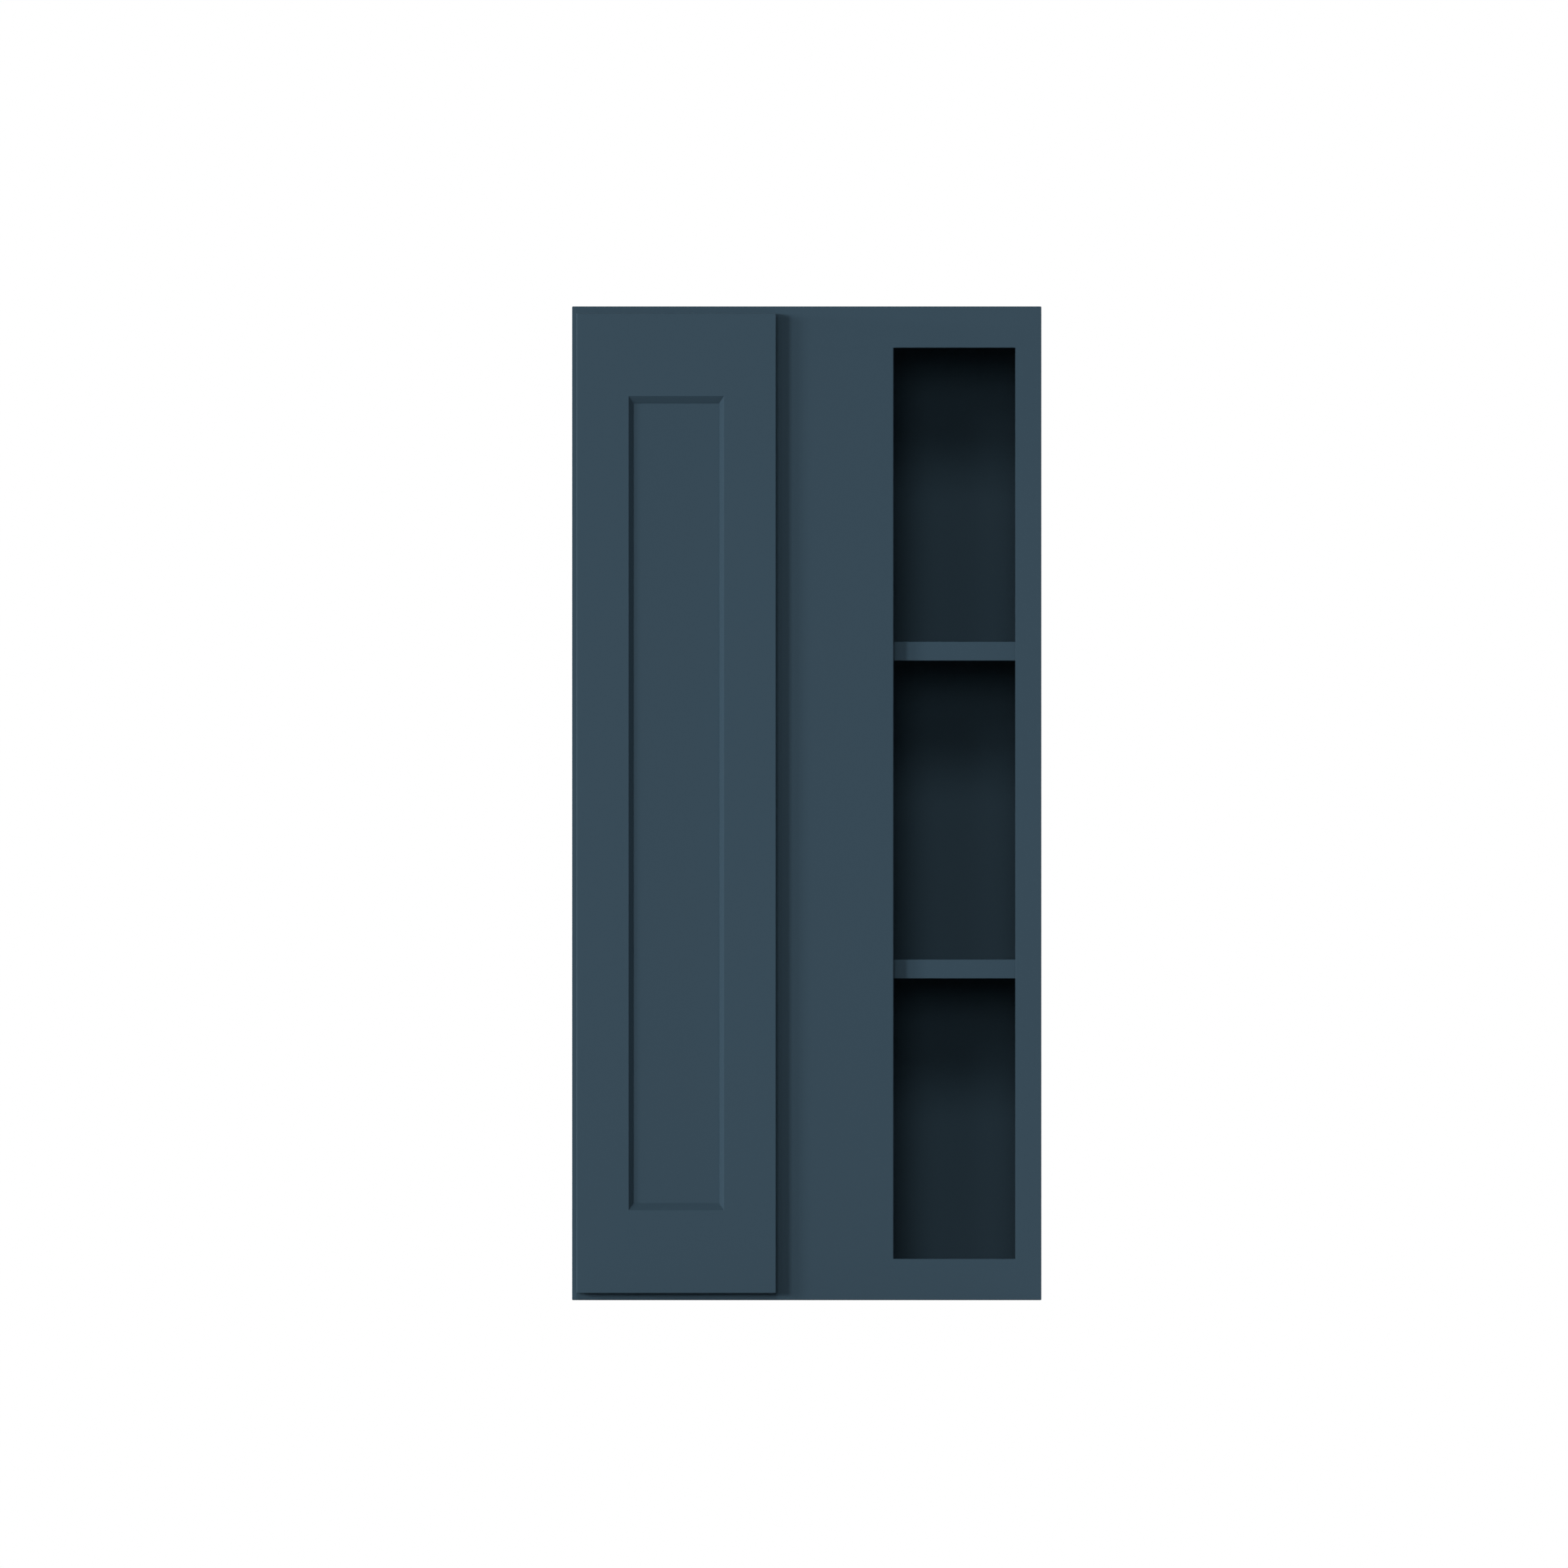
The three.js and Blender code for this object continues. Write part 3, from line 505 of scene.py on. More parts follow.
def add_piece(node, mesh, body, material=None):
    """Makes the finished piece that rides on a body and stands for a node.

    A mesh that has its finishes already needs no material.
    """
    mesh.shade_smooth()
    mesh.set_sharp_from_angle(angle=SHARP_ABOVE)
    if material:
        mesh.materials.append(material)
    piece = new_object(f"finished_{node}", mesh)
    modifier = piece.modifiers.new("weighted_normals", "WEIGHTED_NORMAL")
    modifier.keep_sharp = True
    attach(piece, body)
    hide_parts(node)


print("edges that turn by more than", round(math.degrees(SHARP_ABOVE)), "degrees stay sharp")


# %% [markdown]
# ## Boards with eased edges
# Paint pulls away from a sharp edge, so a maker softens every edge by about a millimetre before
# spraying, but leaves it square where two boards meet flush, or the joint would show as a
# groove. A Bevel modifier softens a whole edge alike. A profile carried along a path can change
# as it goes: each corner of the profile has its own radius at each station of the path.

# %% Rounded corners
CORNER_STEPS = 4


def eased(corners, radii, steps=CORNER_STEPS):
    """Rounds the corners of outlines, all stations at once.

    corners has the shape (stations, corners, 2), and radii (stations, corners). With a and b the
    directions from a corner to its neighbours and h half the angle between them, the arc's centre
    is the corner plus radius / sin h along their bisector. The arc turns from -(90 degrees - h)
    to +(90 degrees - h) about the line from the centre back to the corner.
    """
    a = np.roll(corners, 1, axis=1) - corners
    b = np.roll(corners, -1, axis=1) - corners
    a = a / np.linalg.norm(a, axis=-1, keepdims=True)
    b = b / np.linalg.norm(b, axis=-1, keepdims=True)
    middle = a + b
    middle = middle / np.linalg.norm(middle, axis=-1, keepdims=True)
    cosine = (a * middle).sum(-1)
    half = np.arccos(np.clip(cosine, -1, 1))
    sideways = (b - cosine[..., None] * middle) / np.sin(half)[..., None]
    centre = corners + middle * (radii / np.sin(half))[..., None]
    turn = (math.pi / 2 - half)[..., None] * np.linspace(-1, 1, steps + 1)
    back = -np.cos(turn)[..., None] * middle[..., None, :]
    arc = back + np.sin(turn)[..., None] * sideways[..., None, :]
    points = centre[..., None, :] + radii[..., None, None] * arc
    return points.reshape(len(corners), -1, 2)


square_outline = np.array([[[0, 0], [1, 0], [1, 1], [0, 1]]], dtype=float)
round_square = eased(square_outline, np.full((1, 4), 0.25))
print("a square rounded by a quarter of its side has", round_square.shape[1], "points")


# %% [markdown]
# ## Stations along a board
# A board is its outline repeated at stations along its length. The outline draws in towards the
# ends, so that they are as round as the long edges. An edge that is eased beside an opening runs
# out to a square one where a joint begins, as it does under a maker's sandpaper.

# %% Carry an outline
SQUARE = 0.00003  # radius of an edge that is left square
EASE_RUN = 0.0015  # length over which an eased edge runs out to a square one


def carried(outlines, stations, axis):
    """Places outlines along an axis. Their coordinates are (x, y), (y, z) or (z, x), by axis."""
    along = np.broadcast_to(np.asarray(stations)[:, None], outlines.shape[:2])
    u = outlines[..., 0]
    v = outlines[..., 1]
    columns = {"z": (u, v, along), "x": (along, u, v), "y": (v, along, u)}[axis]
    return np.stack(columns, axis=-1)


def at_stations(corners, count):
    """Corners as an array for eased. Each coordinate is a number, or one for each station."""
    columns = [np.broadcast_to(value, count) for corner in corners for value in corner]
    return np.stack(columns, axis=-1).reshape(count, -1, 2)


def round_ends(low, high, radius):
    """Stations of a run with quarter-round ends, and how far the outline draws in at each.

    At the angle t the station is radius * (1 - cos t) from the end, and the outline has drawn in
    by radius * (1 - sin t).
    """
    t = np.linspace(0, math.pi / 2, CORNER_STEPS + 1)
    into = radius * (1 - np.cos(t))
    drawn = radius * (1 - np.sin(t))
    stations = np.concatenate([low + into, (high - into)[::-1]])
    return stations, np.concatenate([drawn, drawn[::-1]])


def with_marks(stations, drawn, marks):
    """Adds stations at which nothing is drawn in, in their order along the run."""
    everything = np.concatenate([stations, marks])
    order = np.argsort(everything)
    return everything[order], np.concatenate([drawn, np.zeros(len(marks))])[order]


def eased_between(stations, low, high, radius):
    """A radius that is full between two places and runs out to square at both."""
    marks = [low, low + EASE_RUN, high - EASE_RUN, high]
    return np.interp(stations, marks, [SQUARE, radius, radius, SQUARE])


print("stations of a run from 0 to 1:", round_ends(0, 1, 0.1)[0].round(3).tolist())

# %% Boards
EDGE_EASE = 0.0009
SHEET_EASE = 0.0003  # edges of plywood as the saw leaves them


def slab(low, high, axis, radius, corner=None):
    """A board between two corners that runs along an axis, with all its edges eased.

    A corner radius makes its outline a rounded rectangle. Drawing the sides and the radius in by
    the same amount keeps the outline parallel to itself towards the ends.
    """
    along, u, v = {"x": (0, 1, 2), "y": (1, 2, 0), "z": (2, 0, 1)}[axis]
    stations, drawn = round_ends(low[along], high[along], radius)
    u0 = low[u] + drawn
    u1 = high[u] - drawn
    v0 = low[v] + drawn
    v1 = high[v] - drawn
    corners = at_stations([[u0, v0], [u1, v0], [u1, v1], [u0, v1]], len(stations))
    if corner is None:
        outlines = eased(corners, np.full(corners.shape[:2], radius))
    else:
        radii = np.broadcast_to((corner - drawn)[:, None], corners.shape[:2])
        outlines = eased(corners, radii, steps=4 * CORNER_STEPS)
    return skin(carried(outlines, stations, axis))


def board(node, axis, radius):
    """A board as large as a node's box."""
    return slab(*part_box(node), axis, radius)


print("a board with eased edges has", len(board("top_rail", "x", EDGE_EASE)[0]), "points")


# %% [markdown]
# ## The face frame
# The two outer stiles run the full height, and the rails stop against them. The wide blind
# stile stands between the rails. All five are glued flush, so only the edges along the openings
# and round the outside are eased, and their joints show as no more than a hairline. The back of
# each outer stile has a groove that takes the end panel.

# %% Outer stiles
left_low, left_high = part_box("left_stile")
end_low, end_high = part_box("left_end_panel")
opening_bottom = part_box("bottom_panel")[1].z
opening_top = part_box("top_panel")[0].z
GROOVE_PLAY = 0.0001


def outer_stile(side):
    """A full-height stile with its end panel groove. Side -1 is the left one and 1 the right."""
    stations, drawn = round_ends(left_low.z, left_high.z, EDGE_EASE)
    marks = [opening_bottom, opening_bottom + EASE_RUN, opening_top - EASE_RUN, opening_top]
    stations, drawn = with_marks(stations, drawn, marks)
    outer = left_low.x + drawn
    inner = left_high.x
    front = left_low.y + drawn
    back = left_high.y
    groove_outer = end_low.x - GROOVE_PLAY
    groove_inner = end_high.x + GROOVE_PLAY
    groove_floor = end_low.y - GROOVE_PLAY
    corners = at_stations([
        [outer, front],
        [inner, front],
        [inner, back],
        [groove_inner, back],
        [groove_inner, groove_floor],
        [groove_outer, groove_floor],
        [groove_outer, back],
        [outer, back],
    ], len(stations))
    radii = np.full(corners.shape[:2], SQUARE)
    radii[:, [0, 7]] = EDGE_EASE
    radii[:, [1, 2]] = eased_between(stations, opening_bottom, opening_top, EDGE_EASE)[:, None]
    corners[..., 0] *= -side
    return skin(carried(eased(corners, radii), stations, "z"))


for node, side in (("left_stile", -1), ("right_stile", 1)):
    low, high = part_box(node)
    add_piece(node, mesh_of(outer_stile(side)), "cabinet", paint_along["z"])
    print(node, "is", round((high.x - low.x) * 1000, 1), "mm wide")

# %% Frame rails and blind stile
centre_low, centre_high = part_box("centre_stile")
right_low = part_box("right_stile")[0]


def frame_rail(low, high, opening_side):
    """A rail between the outer stiles. Its edges on the openings are eased only beside them."""
    beside = [(left_high.x, centre_low.x), (centre_high.x, right_low.x)]
    marks = [place + shift for pair in beside for place, shift in zip(pair, (EASE_RUN, -EASE_RUN))]
    stations = np.sort([*beside[0], *beside[1], *marks])
    radius = sum(eased_between(stations, *pair, EDGE_EASE) - SQUARE for pair in beside) + SQUARE
    front, back = left_low.y, left_high.y
    outline = np.array([[front, low], [back, low], [back, high], [front, high]])
    corners = np.broadcast_to(outline, (len(stations), 4, 2))
    radii = np.full(corners.shape[:2], EDGE_EASE)
    radii[:, [0, 1] if opening_side == "low" else [2, 3]] = radius[:, None]
    return skin(carried(eased(corners, radii), stations, "x"))


def blind_stile():
    """The wide stile, square at its ends and eased along both openings."""
    front, back = left_low.y, left_high.y
    left, right = centre_low.x, centre_high.x
    outline = np.array([[left, front], [right, front], [right, back], [left, back]])
    corners = np.broadcast_to(outline, (2, 4, 2))
    stations = [opening_bottom, opening_top]
    return skin(carried(eased(corners, np.full((2, 4), EDGE_EASE)), stations, "z"))


top_rail = frame_rail(opening_top, left_high.z, "low")
bottom_rail = frame_rail(left_low.z, opening_bottom, "high")
add_piece("top_rail", mesh_of(top_rail), "cabinet", paint_along["x"])
add_piece("bottom_rail", mesh_of(bottom_rail), "cabinet", paint_along["x"])
add_piece("centre_stile", mesh_of(blind_stile()), "cabinet", paint_along["z"])
print("the openings run from z =", round(opening_bottom, 4), "to", round(opening_top, 4))


# %% [markdown]
# ## The door
# Its stiles and rails carry a sloping moulding round the panel, called sticking, and a groove in
# which the panel floats. A rail's end is cut to the negative of the stile's moulding, so that the
# two slopes meet in a clean mitre. The stile's profile is carried straight up. The rail's is
# carried across, and each point of it stops where the stile's surface is at that depth, which
# makes the cope without any cutting.

# %% Section of a door member
door_low, door_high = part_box("door_hinge_stile")
free_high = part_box("door_free_stile")[1]
panel_low, panel_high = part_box("door_panel")
STICKING_DEPTH = 0.0066
STICKING_WIDTH = 0.0044  # the slope's width on a stile
RAIL_STICKING_WIDTH = 0.0066
DOOR_GROOVE_DEPTH = 0.0095
DOOR_EASE = 0.0011
STICKING_EASE = 0.0004  # where the flat front breaks into the slope
HINGE_EDGE_CHAMFER = 0.0020  # the back edge that turns past the frame

sticking_foot = door_low.y + STICKING_DEPTH
stile_inner = door_high.x - door_low.x
rail_inner = door_high.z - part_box("door_top_rail")[0].z


def door_section(inner, slope, groove, drawn, chamfer=0.0):
    """Corners of a door member: distance in from its outer edge, and y.

    inner is the width with the slope, groove the groove's depth, and drawn how far the outline
    has drawn in at each station. A chamfer turns the back outer corner into two.
    """
    front = door_low.y + drawn
    back = door_high.y - drawn
    mouth_front = panel_low.y - GROOVE_PLAY
    mouth_back = panel_high.y + GROOVE_PLAY
    corners = [
        [drawn, front],
        [inner - slope, front],
        [inner, sticking_foot],
        [inner, mouth_front],
        [inner - groove, mouth_front],
        [inner - groove, mouth_back],
        [inner, mouth_back],
        [inner, back],
    ]
    corners += [[drawn + chamfer, back], [drawn, back - chamfer]] if chamfer else [[drawn, back]]
    return at_stations(corners, len(drawn))


slope = math.degrees(math.atan2(STICKING_DEPTH, STICKING_WIDTH))
print("the stiles' moulding falls at", round(slope), "degrees to the door's front")

# %% Door stiles
def door_stile(side):
    """A door stile. Its groove closes beside the rails, whose tongues fill it there."""
    stations, drawn = round_ends(door_low.z, door_high.z, DOOR_EASE)
    shut = (door_low.z + rail_inner, door_high.z - rail_inner)
    marks = [shut[0], shut[0] + EASE_RUN, shut[1] - EASE_RUN, shut[1]]
    stations, drawn = with_marks(stations, drawn, marks)
    depths = [GROOVE_PLAY, DOOR_GROOVE_DEPTH, DOOR_GROOVE_DEPTH, GROOVE_PLAY]
    groove = np.interp(stations, marks, depths)
    chamfer = HINGE_EDGE_CHAMFER if side < 0 else 0.0
    corners = door_section(stile_inner, STICKING_WIDTH, groove, drawn, chamfer)
    radii = np.full(corners.shape[:2], SQUARE)
    radii[:, 0] = DOOR_EASE
    radii[:, 1] = eased_between(stations, *shut, STICKING_EASE)
    radii[:, 7] = eased_between(stations, *shut, EDGE_EASE)
    radii[:, 8:] = SHEET_EASE if side < 0 else DOOR_EASE
    start = door_low.x if side < 0 else free_high.x
    corners[..., 0] = start - side * corners[..., 0]
    return skin(carried(eased(corners, radii), stations, "z"))


free_stile = mesh_of(door_stile(1))
add_piece("door_free_stile", free_stile, "door", paint_along["z"])
print("the free stile encloses", round(enclosed_volume(free_stile) * 1e6), "cubic centimetres")

# %% Door rails
def stile_surface(y):
    """How far the stile's surface is from the stile's outer edge, at each depth y."""
    return np.interp(y, [door_low.y, sticking_foot], [stile_inner - STICKING_WIDTH, stile_inner])


def door_rail(side):
    """A door rail with coped ends. Side 1 is the top rail and -1 the bottom one.

    Each end is folded along the foot of the stile's slope, so its cap is two flat polygons.
    """
    corners = door_section(rail_inner, RAIL_STICKING_WIDTH, DOOR_GROOVE_DEPTH, np.zeros(2))
    radii = np.full(corners.shape[:2], SQUARE)
    radii[:, [0, 8]] = DOOR_EASE
    radii[:, 1] = STICKING_EASE
    radii[:, 7] = EDGE_EASE
    start = door_high.z if side > 0 else door_low.z
    outline = eased(np.stack([corners[..., 1], start - side * corners[..., 0]], axis=-1), radii)
    fold_outside = np.full((2, 1, 2), [sticking_foot, start])
    rings = carried(np.concatenate([outline, fold_outside], axis=1), [0.0, 1.0], "x")
    cope = stile_surface(rings[..., 1])
    rings[0, :, 0] = door_low.x + cope[0]
    rings[1, :, 0] = free_high.x - cope[1]
    last = rings.shape[1] - 1
    fold_inside = 2 * (CORNER_STEPS + 1) + CORNER_STEPS // 2
    before_fold = [last, *range(fold_inside + 1)]
    past_fold = list(range(fold_inside, last + 1))
    return skin(rings, cap=[before_fold, past_fold])


add_piece("door_top_rail", mesh_of(door_rail(1)), "door", paint_along["x"])
add_piece("door_bottom_rail", mesh_of(door_rail(-1)), "door", paint_along["x"])
panel_mesh = mesh_of(board("door_panel", "z", SHEET_EASE))
add_piece("door_panel", panel_mesh, "door", paint_along["z"])
print("the panel lies", round((panel_low.y - door_low.y) * 1000, 2), "mm behind the door's front")


# %% [markdown]
# ## Turned shapes
# Cups, pins, screws, bumpers and round holes are all surfaces of revolution. A profile gives
# points as (distance along the axis, radius). Its corners are rounded as a board's are, and
# each point then goes round the axis: sideways by radius * cos t and radius * sin t. The profile
# closes on the axis at both ends, or on itself, as the wall of a tube does.

# %% Profiles
def rounded_profile(points, radii):
    """A profile with its corners rounded, but not the two on the axis if it is a solid's.

    Radii is one number, or one for each corner.
    """
    corners = np.array([points], dtype=float)
    rounded = eased(corners, np.broadcast_to(radii, corners.shape[:2]))[0]
    if points[0][1] > 0:
        return rounded
    arc = CORNER_STEPS + 1
    return np.concatenate([corners[0, :1], rounded[arc:-arc], corners[0, -1:]])


dome = rounded_profile([(0, 0), (0, 1), (1, 1), (1, 0)], [SQUARE, SQUARE, 0.5, SQUARE])
print("a rounded rod's profile has", len(dome), "points")

# %% Turned shapes
ROUND_STEPS = 64
AXES = {
    "x": np.array([[0, 1, 0], [0, 0, 1], [1, 0, 0]]),
    "y": np.array([[0, 0, 1], [1, 0, 0], [0, 1, 0]]),
    "z": np.array([[1, 0, 0], [0, 1, 0], [0, 0, 1]]),
}


def turned(profile, centre, axis, facing=1, steps=ROUND_STEPS):
    """Turns a profile about an axis through a centre.

    A profile that starts and ends on the axis becomes a solid with a polygon at each tip, and any
    other becomes a ring. Facing -1 points the profile the other way along the axis.
    """
    t = np.linspace(0, 2 * math.pi, steps, endpoint=False)
    along, radius = np.asarray(profile, dtype=float).T
    solid = radius[0] == 0 and radius[-1] == 0
    if solid:
        along, radius = along[1:-1], radius[1:-1]
    local = np.stack([
        radius[:, None] * np.cos(t),
        radius[:, None] * np.sin(t),
        np.broadcast_to(facing * along[:, None], (len(along), steps)),
    ], axis=-1)
    return skin(local @ AXES[axis] + np.asarray(centre), closed=not solid)


def rod(centre, axis, radius, start, end, steps=ROUND_STEPS):
    """A plain round rod along an axis, which serves as a drill for holes."""
    return turned([(start, 0), (start, radius), (end, radius), (end, 0)], centre, axis, 1, steps)


test_rod = mesh_of(rod((0, 0, 0), "z", 1.0, 0, 1))
print("a rod of", ROUND_STEPS, "sides encloses", round(enclosed_volume(test_rod), 4), "and not pi")
bpy.data.meshes.remove(test_rod)


# %% [markdown]
# ## The hinge stile's bores
# Each hinge cup sits in a 35 mm bore, and its screws in pilot holes, all sunk from the door's
# back. These are cut from the mesh with a Boolean, because the door's own shape has nothing round
# in it to carry along a path.

# %% Bore the hinge stile
CUP_BORE_RADIUS = 0.0175
CUP_BORE_DEPTH = 0.0140
CUP_EDGE_DISTANCE = 0.0030
SCREW_RADIUS = 0.0016
PILOT_PLAY = 0.0003
PILOT_DEPTH = 0.0118
PILOT_STEPS = 16
DRILL_OVERRUN = 0.0050

cup_x = door_low.x + CUP_EDGE_DISTANCE + CUP_BORE_RADIUS


def middle_of(node):
    """The middle of a node's box."""
    low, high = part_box(node)
    return (low + high) / 2


def screw_drill(face, axis, depth, steps):
    """The drill for a screw, from its depth behind a face to well in front of it."""
    return rod(face, axis, SCREW_RADIUS + PILOT_PLAY, -depth, DRILL_OVERRUN, steps)


drills = []
for which in ("upper", "lower"):
    cup_height = middle_of(f"{which}_hinge_cup").z
    face = (cup_x, door_high.y, cup_height)
    drills.append(rod(face, "y", CUP_BORE_RADIUS, -CUP_BORE_DEPTH, DRILL_OVERRUN, 2 * ROUND_STEPS))
    for place in ("top", "bottom"):
        screw = middle_of(f"{which}_hinge_cup_screw_{place}")
        face = (screw.x, door_high.y, screw.z)
        drills.append(screw_drill(face, "y", PILOT_DEPTH, PILOT_STEPS))
bored = combined(mesh_of(door_stile(-1)), mesh_of(*drills), "DIFFERENCE")
add_piece("door_hinge_stile", bored, "door", paint_along["z"])
print(len(drills), "holes, the cups' middles", round((cup_x - door_low.x) * 1000, 1), "mm in")


# %% [markdown]
# ## The box behind the frame
# Ends, decks and back are sheets of plywood let into each other: the ends have dadoes for the
# decks, grooves for the back and two double rows of holes for the shelf pins. A sheet's edges are
# sawn, not eased. A neighbour's own box, grown by the glue line, cuts the dado that it sits in.

# %% Dadoes and pin holes
GLUE_LINE = 0.0001
PIN_HOLE_RADIUS = 0.0025
PIN_HOLE_DEPTH = 0.0085
PIN_HOLE_PITCH = 0.032
PIN_HOLE_STEPS = 24
SPARE_HOLES = 2  # above and below the one in use


def dado(node):
    """The space that a neighbour takes, grown by the glue line."""
    low, high = (np.array(corner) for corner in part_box(node))
    return slab(low - GLUE_LINE, high + GLUE_LINE, "x", SQUARE)


def pin_holes(side):
    """Drills for the shelf pins of one end panel. Side -1 is the left one and 1 the right."""
    hand = "left" if side < 0 else "right"
    start, end = sorted((-side * DRILL_OVERRUN, side * PIN_HOLE_DEPTH))
    drills = []
    for shelf in ("upper", "lower"):
        for place in ("front", "rear"):
            pin = middle_of(f"{shelf}_shelf_pin_{hand}_{place}")
            for step in range(-SPARE_HOLES, SPARE_HOLES + 1):
                face = (side * -end_high.x, pin.y, pin.z + step * PIN_HOLE_PITCH)
                drills.append(rod(face, "x", PIN_HOLE_RADIUS, start, end, PIN_HOLE_STEPS))
    return drills


def end_panel(node, side):
    """An end panel with its dadoes, groove and pin holes."""
    mesh = mesh_of(board(node, "z", SHEET_EASE))
    for neighbour in ("top_panel", "bottom_panel", "back_panel"):
        mesh = combined(mesh, mesh_of(dado(neighbour)), "DIFFERENCE")
    return combined(mesh, mesh_of(*pin_holes(side)), "DIFFERENCE")


def deck(node):
    """A top or bottom panel with its groove for the back."""
    return combined(mesh_of(board(node, "x", SHEET_EASE)), mesh_of(dado("back_panel")), "DIFFERENCE")


print("each end panel gets", len(pin_holes(1)), "pin holes")


# %% [markdown]
# ## Which faces are bare
# Only what shows is painted, so the faces of one sheet get different finishes by where they are
# and which way they look. Splitting the sheet into objects would open seams between them, while
# a number for each face keeps it one mesh. Each sheet has a few rules, and a later one wins.

# %% Finish the sheets
PAINTED, BARE, EDGE = 0, 1, 2  # numbers of the finishes
FACING = 0.7  # least share of a normal along an axis for a face that looks along it
Y, Z = 1, 2
ANYWHERE = -math.inf


def finishes_of(mesh, rules):
    """The number of each face's finish.

    A rule is an axis, a place on it and a finish, for faces beyond that place that look along it.
    """
    centres = triples(mesh.polygons, "center")
    normals = triples(mesh.polygons, "normal")
    finishes = np.full(len(centres), PAINTED)
    for axis, place, finish in rules:
        finishes[(normals[:, axis] > FACING) & (centres[:, axis] > place)] = finish
    return finishes


upright = (paint_along["z"], birch_along["z"], plywood_edge["x"])
level = (paint_along["x"], birch_along["x"], plywood_edge["z"])
rear_edge = (Y, -SHEET_EASE, EDGE)
end_rules = [rear_edge, (Z, end_high.z - SHEET_EASE, EDGE)]
back_panel = mesh_of(board("back_panel", "z", SHEET_EASE))
sheets = (
    ("left_end_panel", end_panel("left_end_panel", -1), upright, end_rules),
    ("right_end_panel", end_panel("right_end_panel", 1), upright, end_rules),
    ("top_panel", deck("top_panel"), level, [(Z, ANYWHERE, BARE), rear_edge]),
    ("bottom_panel", deck("bottom_panel"), level, [rear_edge]),
    ("back_panel", back_panel, upright[:2], [(Y, ANYWHERE, BARE)]),
)
for node, mesh, materials, rules in sheets:
    for material in materials:
        mesh.materials.append(material)
    finishes = finishes_of(mesh, rules)
    mesh.polygons.foreach_set("material_index", finishes.astype(np.int32))
    add_piece(node, mesh, "cabinet")
    print(node, "has painted, bare and edge faces:", np.bincount(finishes, minlength=3).tolist())


# %% [markdown]
# ## Hanging rails and shelves
# Two rails behind the back take the screws that hold the cabinet on the wall. They are plain
# bare boards. The shelves are painted boards with a sharper edge than the frame's, because
# a shelf's edge is sanded only lightly. Each shelf rides on its own body, so it can be lifted.

# %% Hanging rails
for node in ("upper_hanging_rail", "lower_hanging_rail"):
    add_piece(node, mesh_of(board(node, "x", EDGE_EASE)), "cabinet", birch_along["x"])

# %% Shelves
SHELF_EASE = 0.0007
for node in ("upper_shelf", "lower_shelf"):
    add_piece(node, mesh_of(board(node, "x", SHELF_EASE)), node, paint_along["x"])


# %% [markdown]
# ## Shelf pins and bumpers
# A pin is turned from rod: a shank that fills its hole, a collar that stops at the panel, and
# a peg with a rounded tip that carries the shelf. A bumper is cast in a shallow mould and is
# stuck on, so it is flat behind with a soft round edge. Both are profiles turned about an axis.

# %% Shelf pins
PIN_FIT = 0.0003
PIN_COLLAR_RADIUS = 0.0038
PIN_COLLAR_THICKNESS = 0.0009
PIN_ROUNDING = [SQUARE, 0.0004, SQUARE, 0.0003, 0.0003, 0.0001, 0.0009, SQUARE]
PIN_STEPS = 32

end_inner = -end_high.x
peg_tip = end_inner - abs(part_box("upper_shelf_pin_right_front")[0].x)
pin_profile = rounded_profile([
    (-PIN_HOLE_DEPTH + PIN_FIT, 0),
    (-PIN_HOLE_DEPTH + PIN_FIT, PIN_HOLE_RADIUS - PIN_FIT),
    (PIN_FIT, PIN_HOLE_RADIUS - PIN_FIT),
    (PIN_FIT, PIN_COLLAR_RADIUS),
    (PIN_FIT + PIN_COLLAR_THICKNESS, PIN_COLLAR_RADIUS),
    (PIN_FIT + PIN_COLLAR_THICKNESS, PIN_HOLE_RADIUS),
    (peg_tip, PIN_HOLE_RADIUS),
    (peg_tip, 0),
], PIN_ROUNDING)
for shelf in ("upper", "lower"):
    for hand, side in (("left", -1), ("right", 1)):
        for place in ("front", "rear"):
            node = f"{shelf}_shelf_pin_{hand}_{place}"
            seat = (side * end_inner, middle_of(node).y, middle_of(node).z)
            pin_mesh = mesh_of(turned(pin_profile, seat, "x", -side, PIN_STEPS))
            add_piece(node, pin_mesh, "cabinet", nickel_plate)
print("each peg stands", round(peg_tip * 1000, 1), "mm out of its panel")

# %% Bumpers
BUMPER_ROUNDING = [SQUARE, 0.0002, 0.0014, SQUARE]
for node in ("upper_door_bumper", "lower_door_bumper"):
    low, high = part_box(node)
    thickness = high.y - low.y
    radius = (high.x - low.x) / 2
    bumper_profile = rounded_profile(
        [(0, 0), (0, radius), (thickness, radius), (thickness, 0)], BUMPER_ROUNDING
    )
    middle = middle_of(node)
    bumper_mesh = mesh_of(turned(bumper_profile, (middle.x, low.y, middle.z), "y"))
    add_piece(node, bumper_mesh, "door", clear_polymer)
    print(node, "is", round(thickness * 1000, 2), "mm thick")


# %% [markdown]
# ## Concealed hinges
# A cup is drawn from one sheet: a pot with a round floor edge, a flange that lies on the door,
# two ears for its screws, and a pair of cheeks that hold the pin. Its rim is open towards the
# door's edge, because the arm stands there when the door is wide open. The pot is a turned
# profile, the ears a rounded slab and the cheeks a U-shaped outline carried along the pin, and
# Booleans join them and open the rim and the holes.

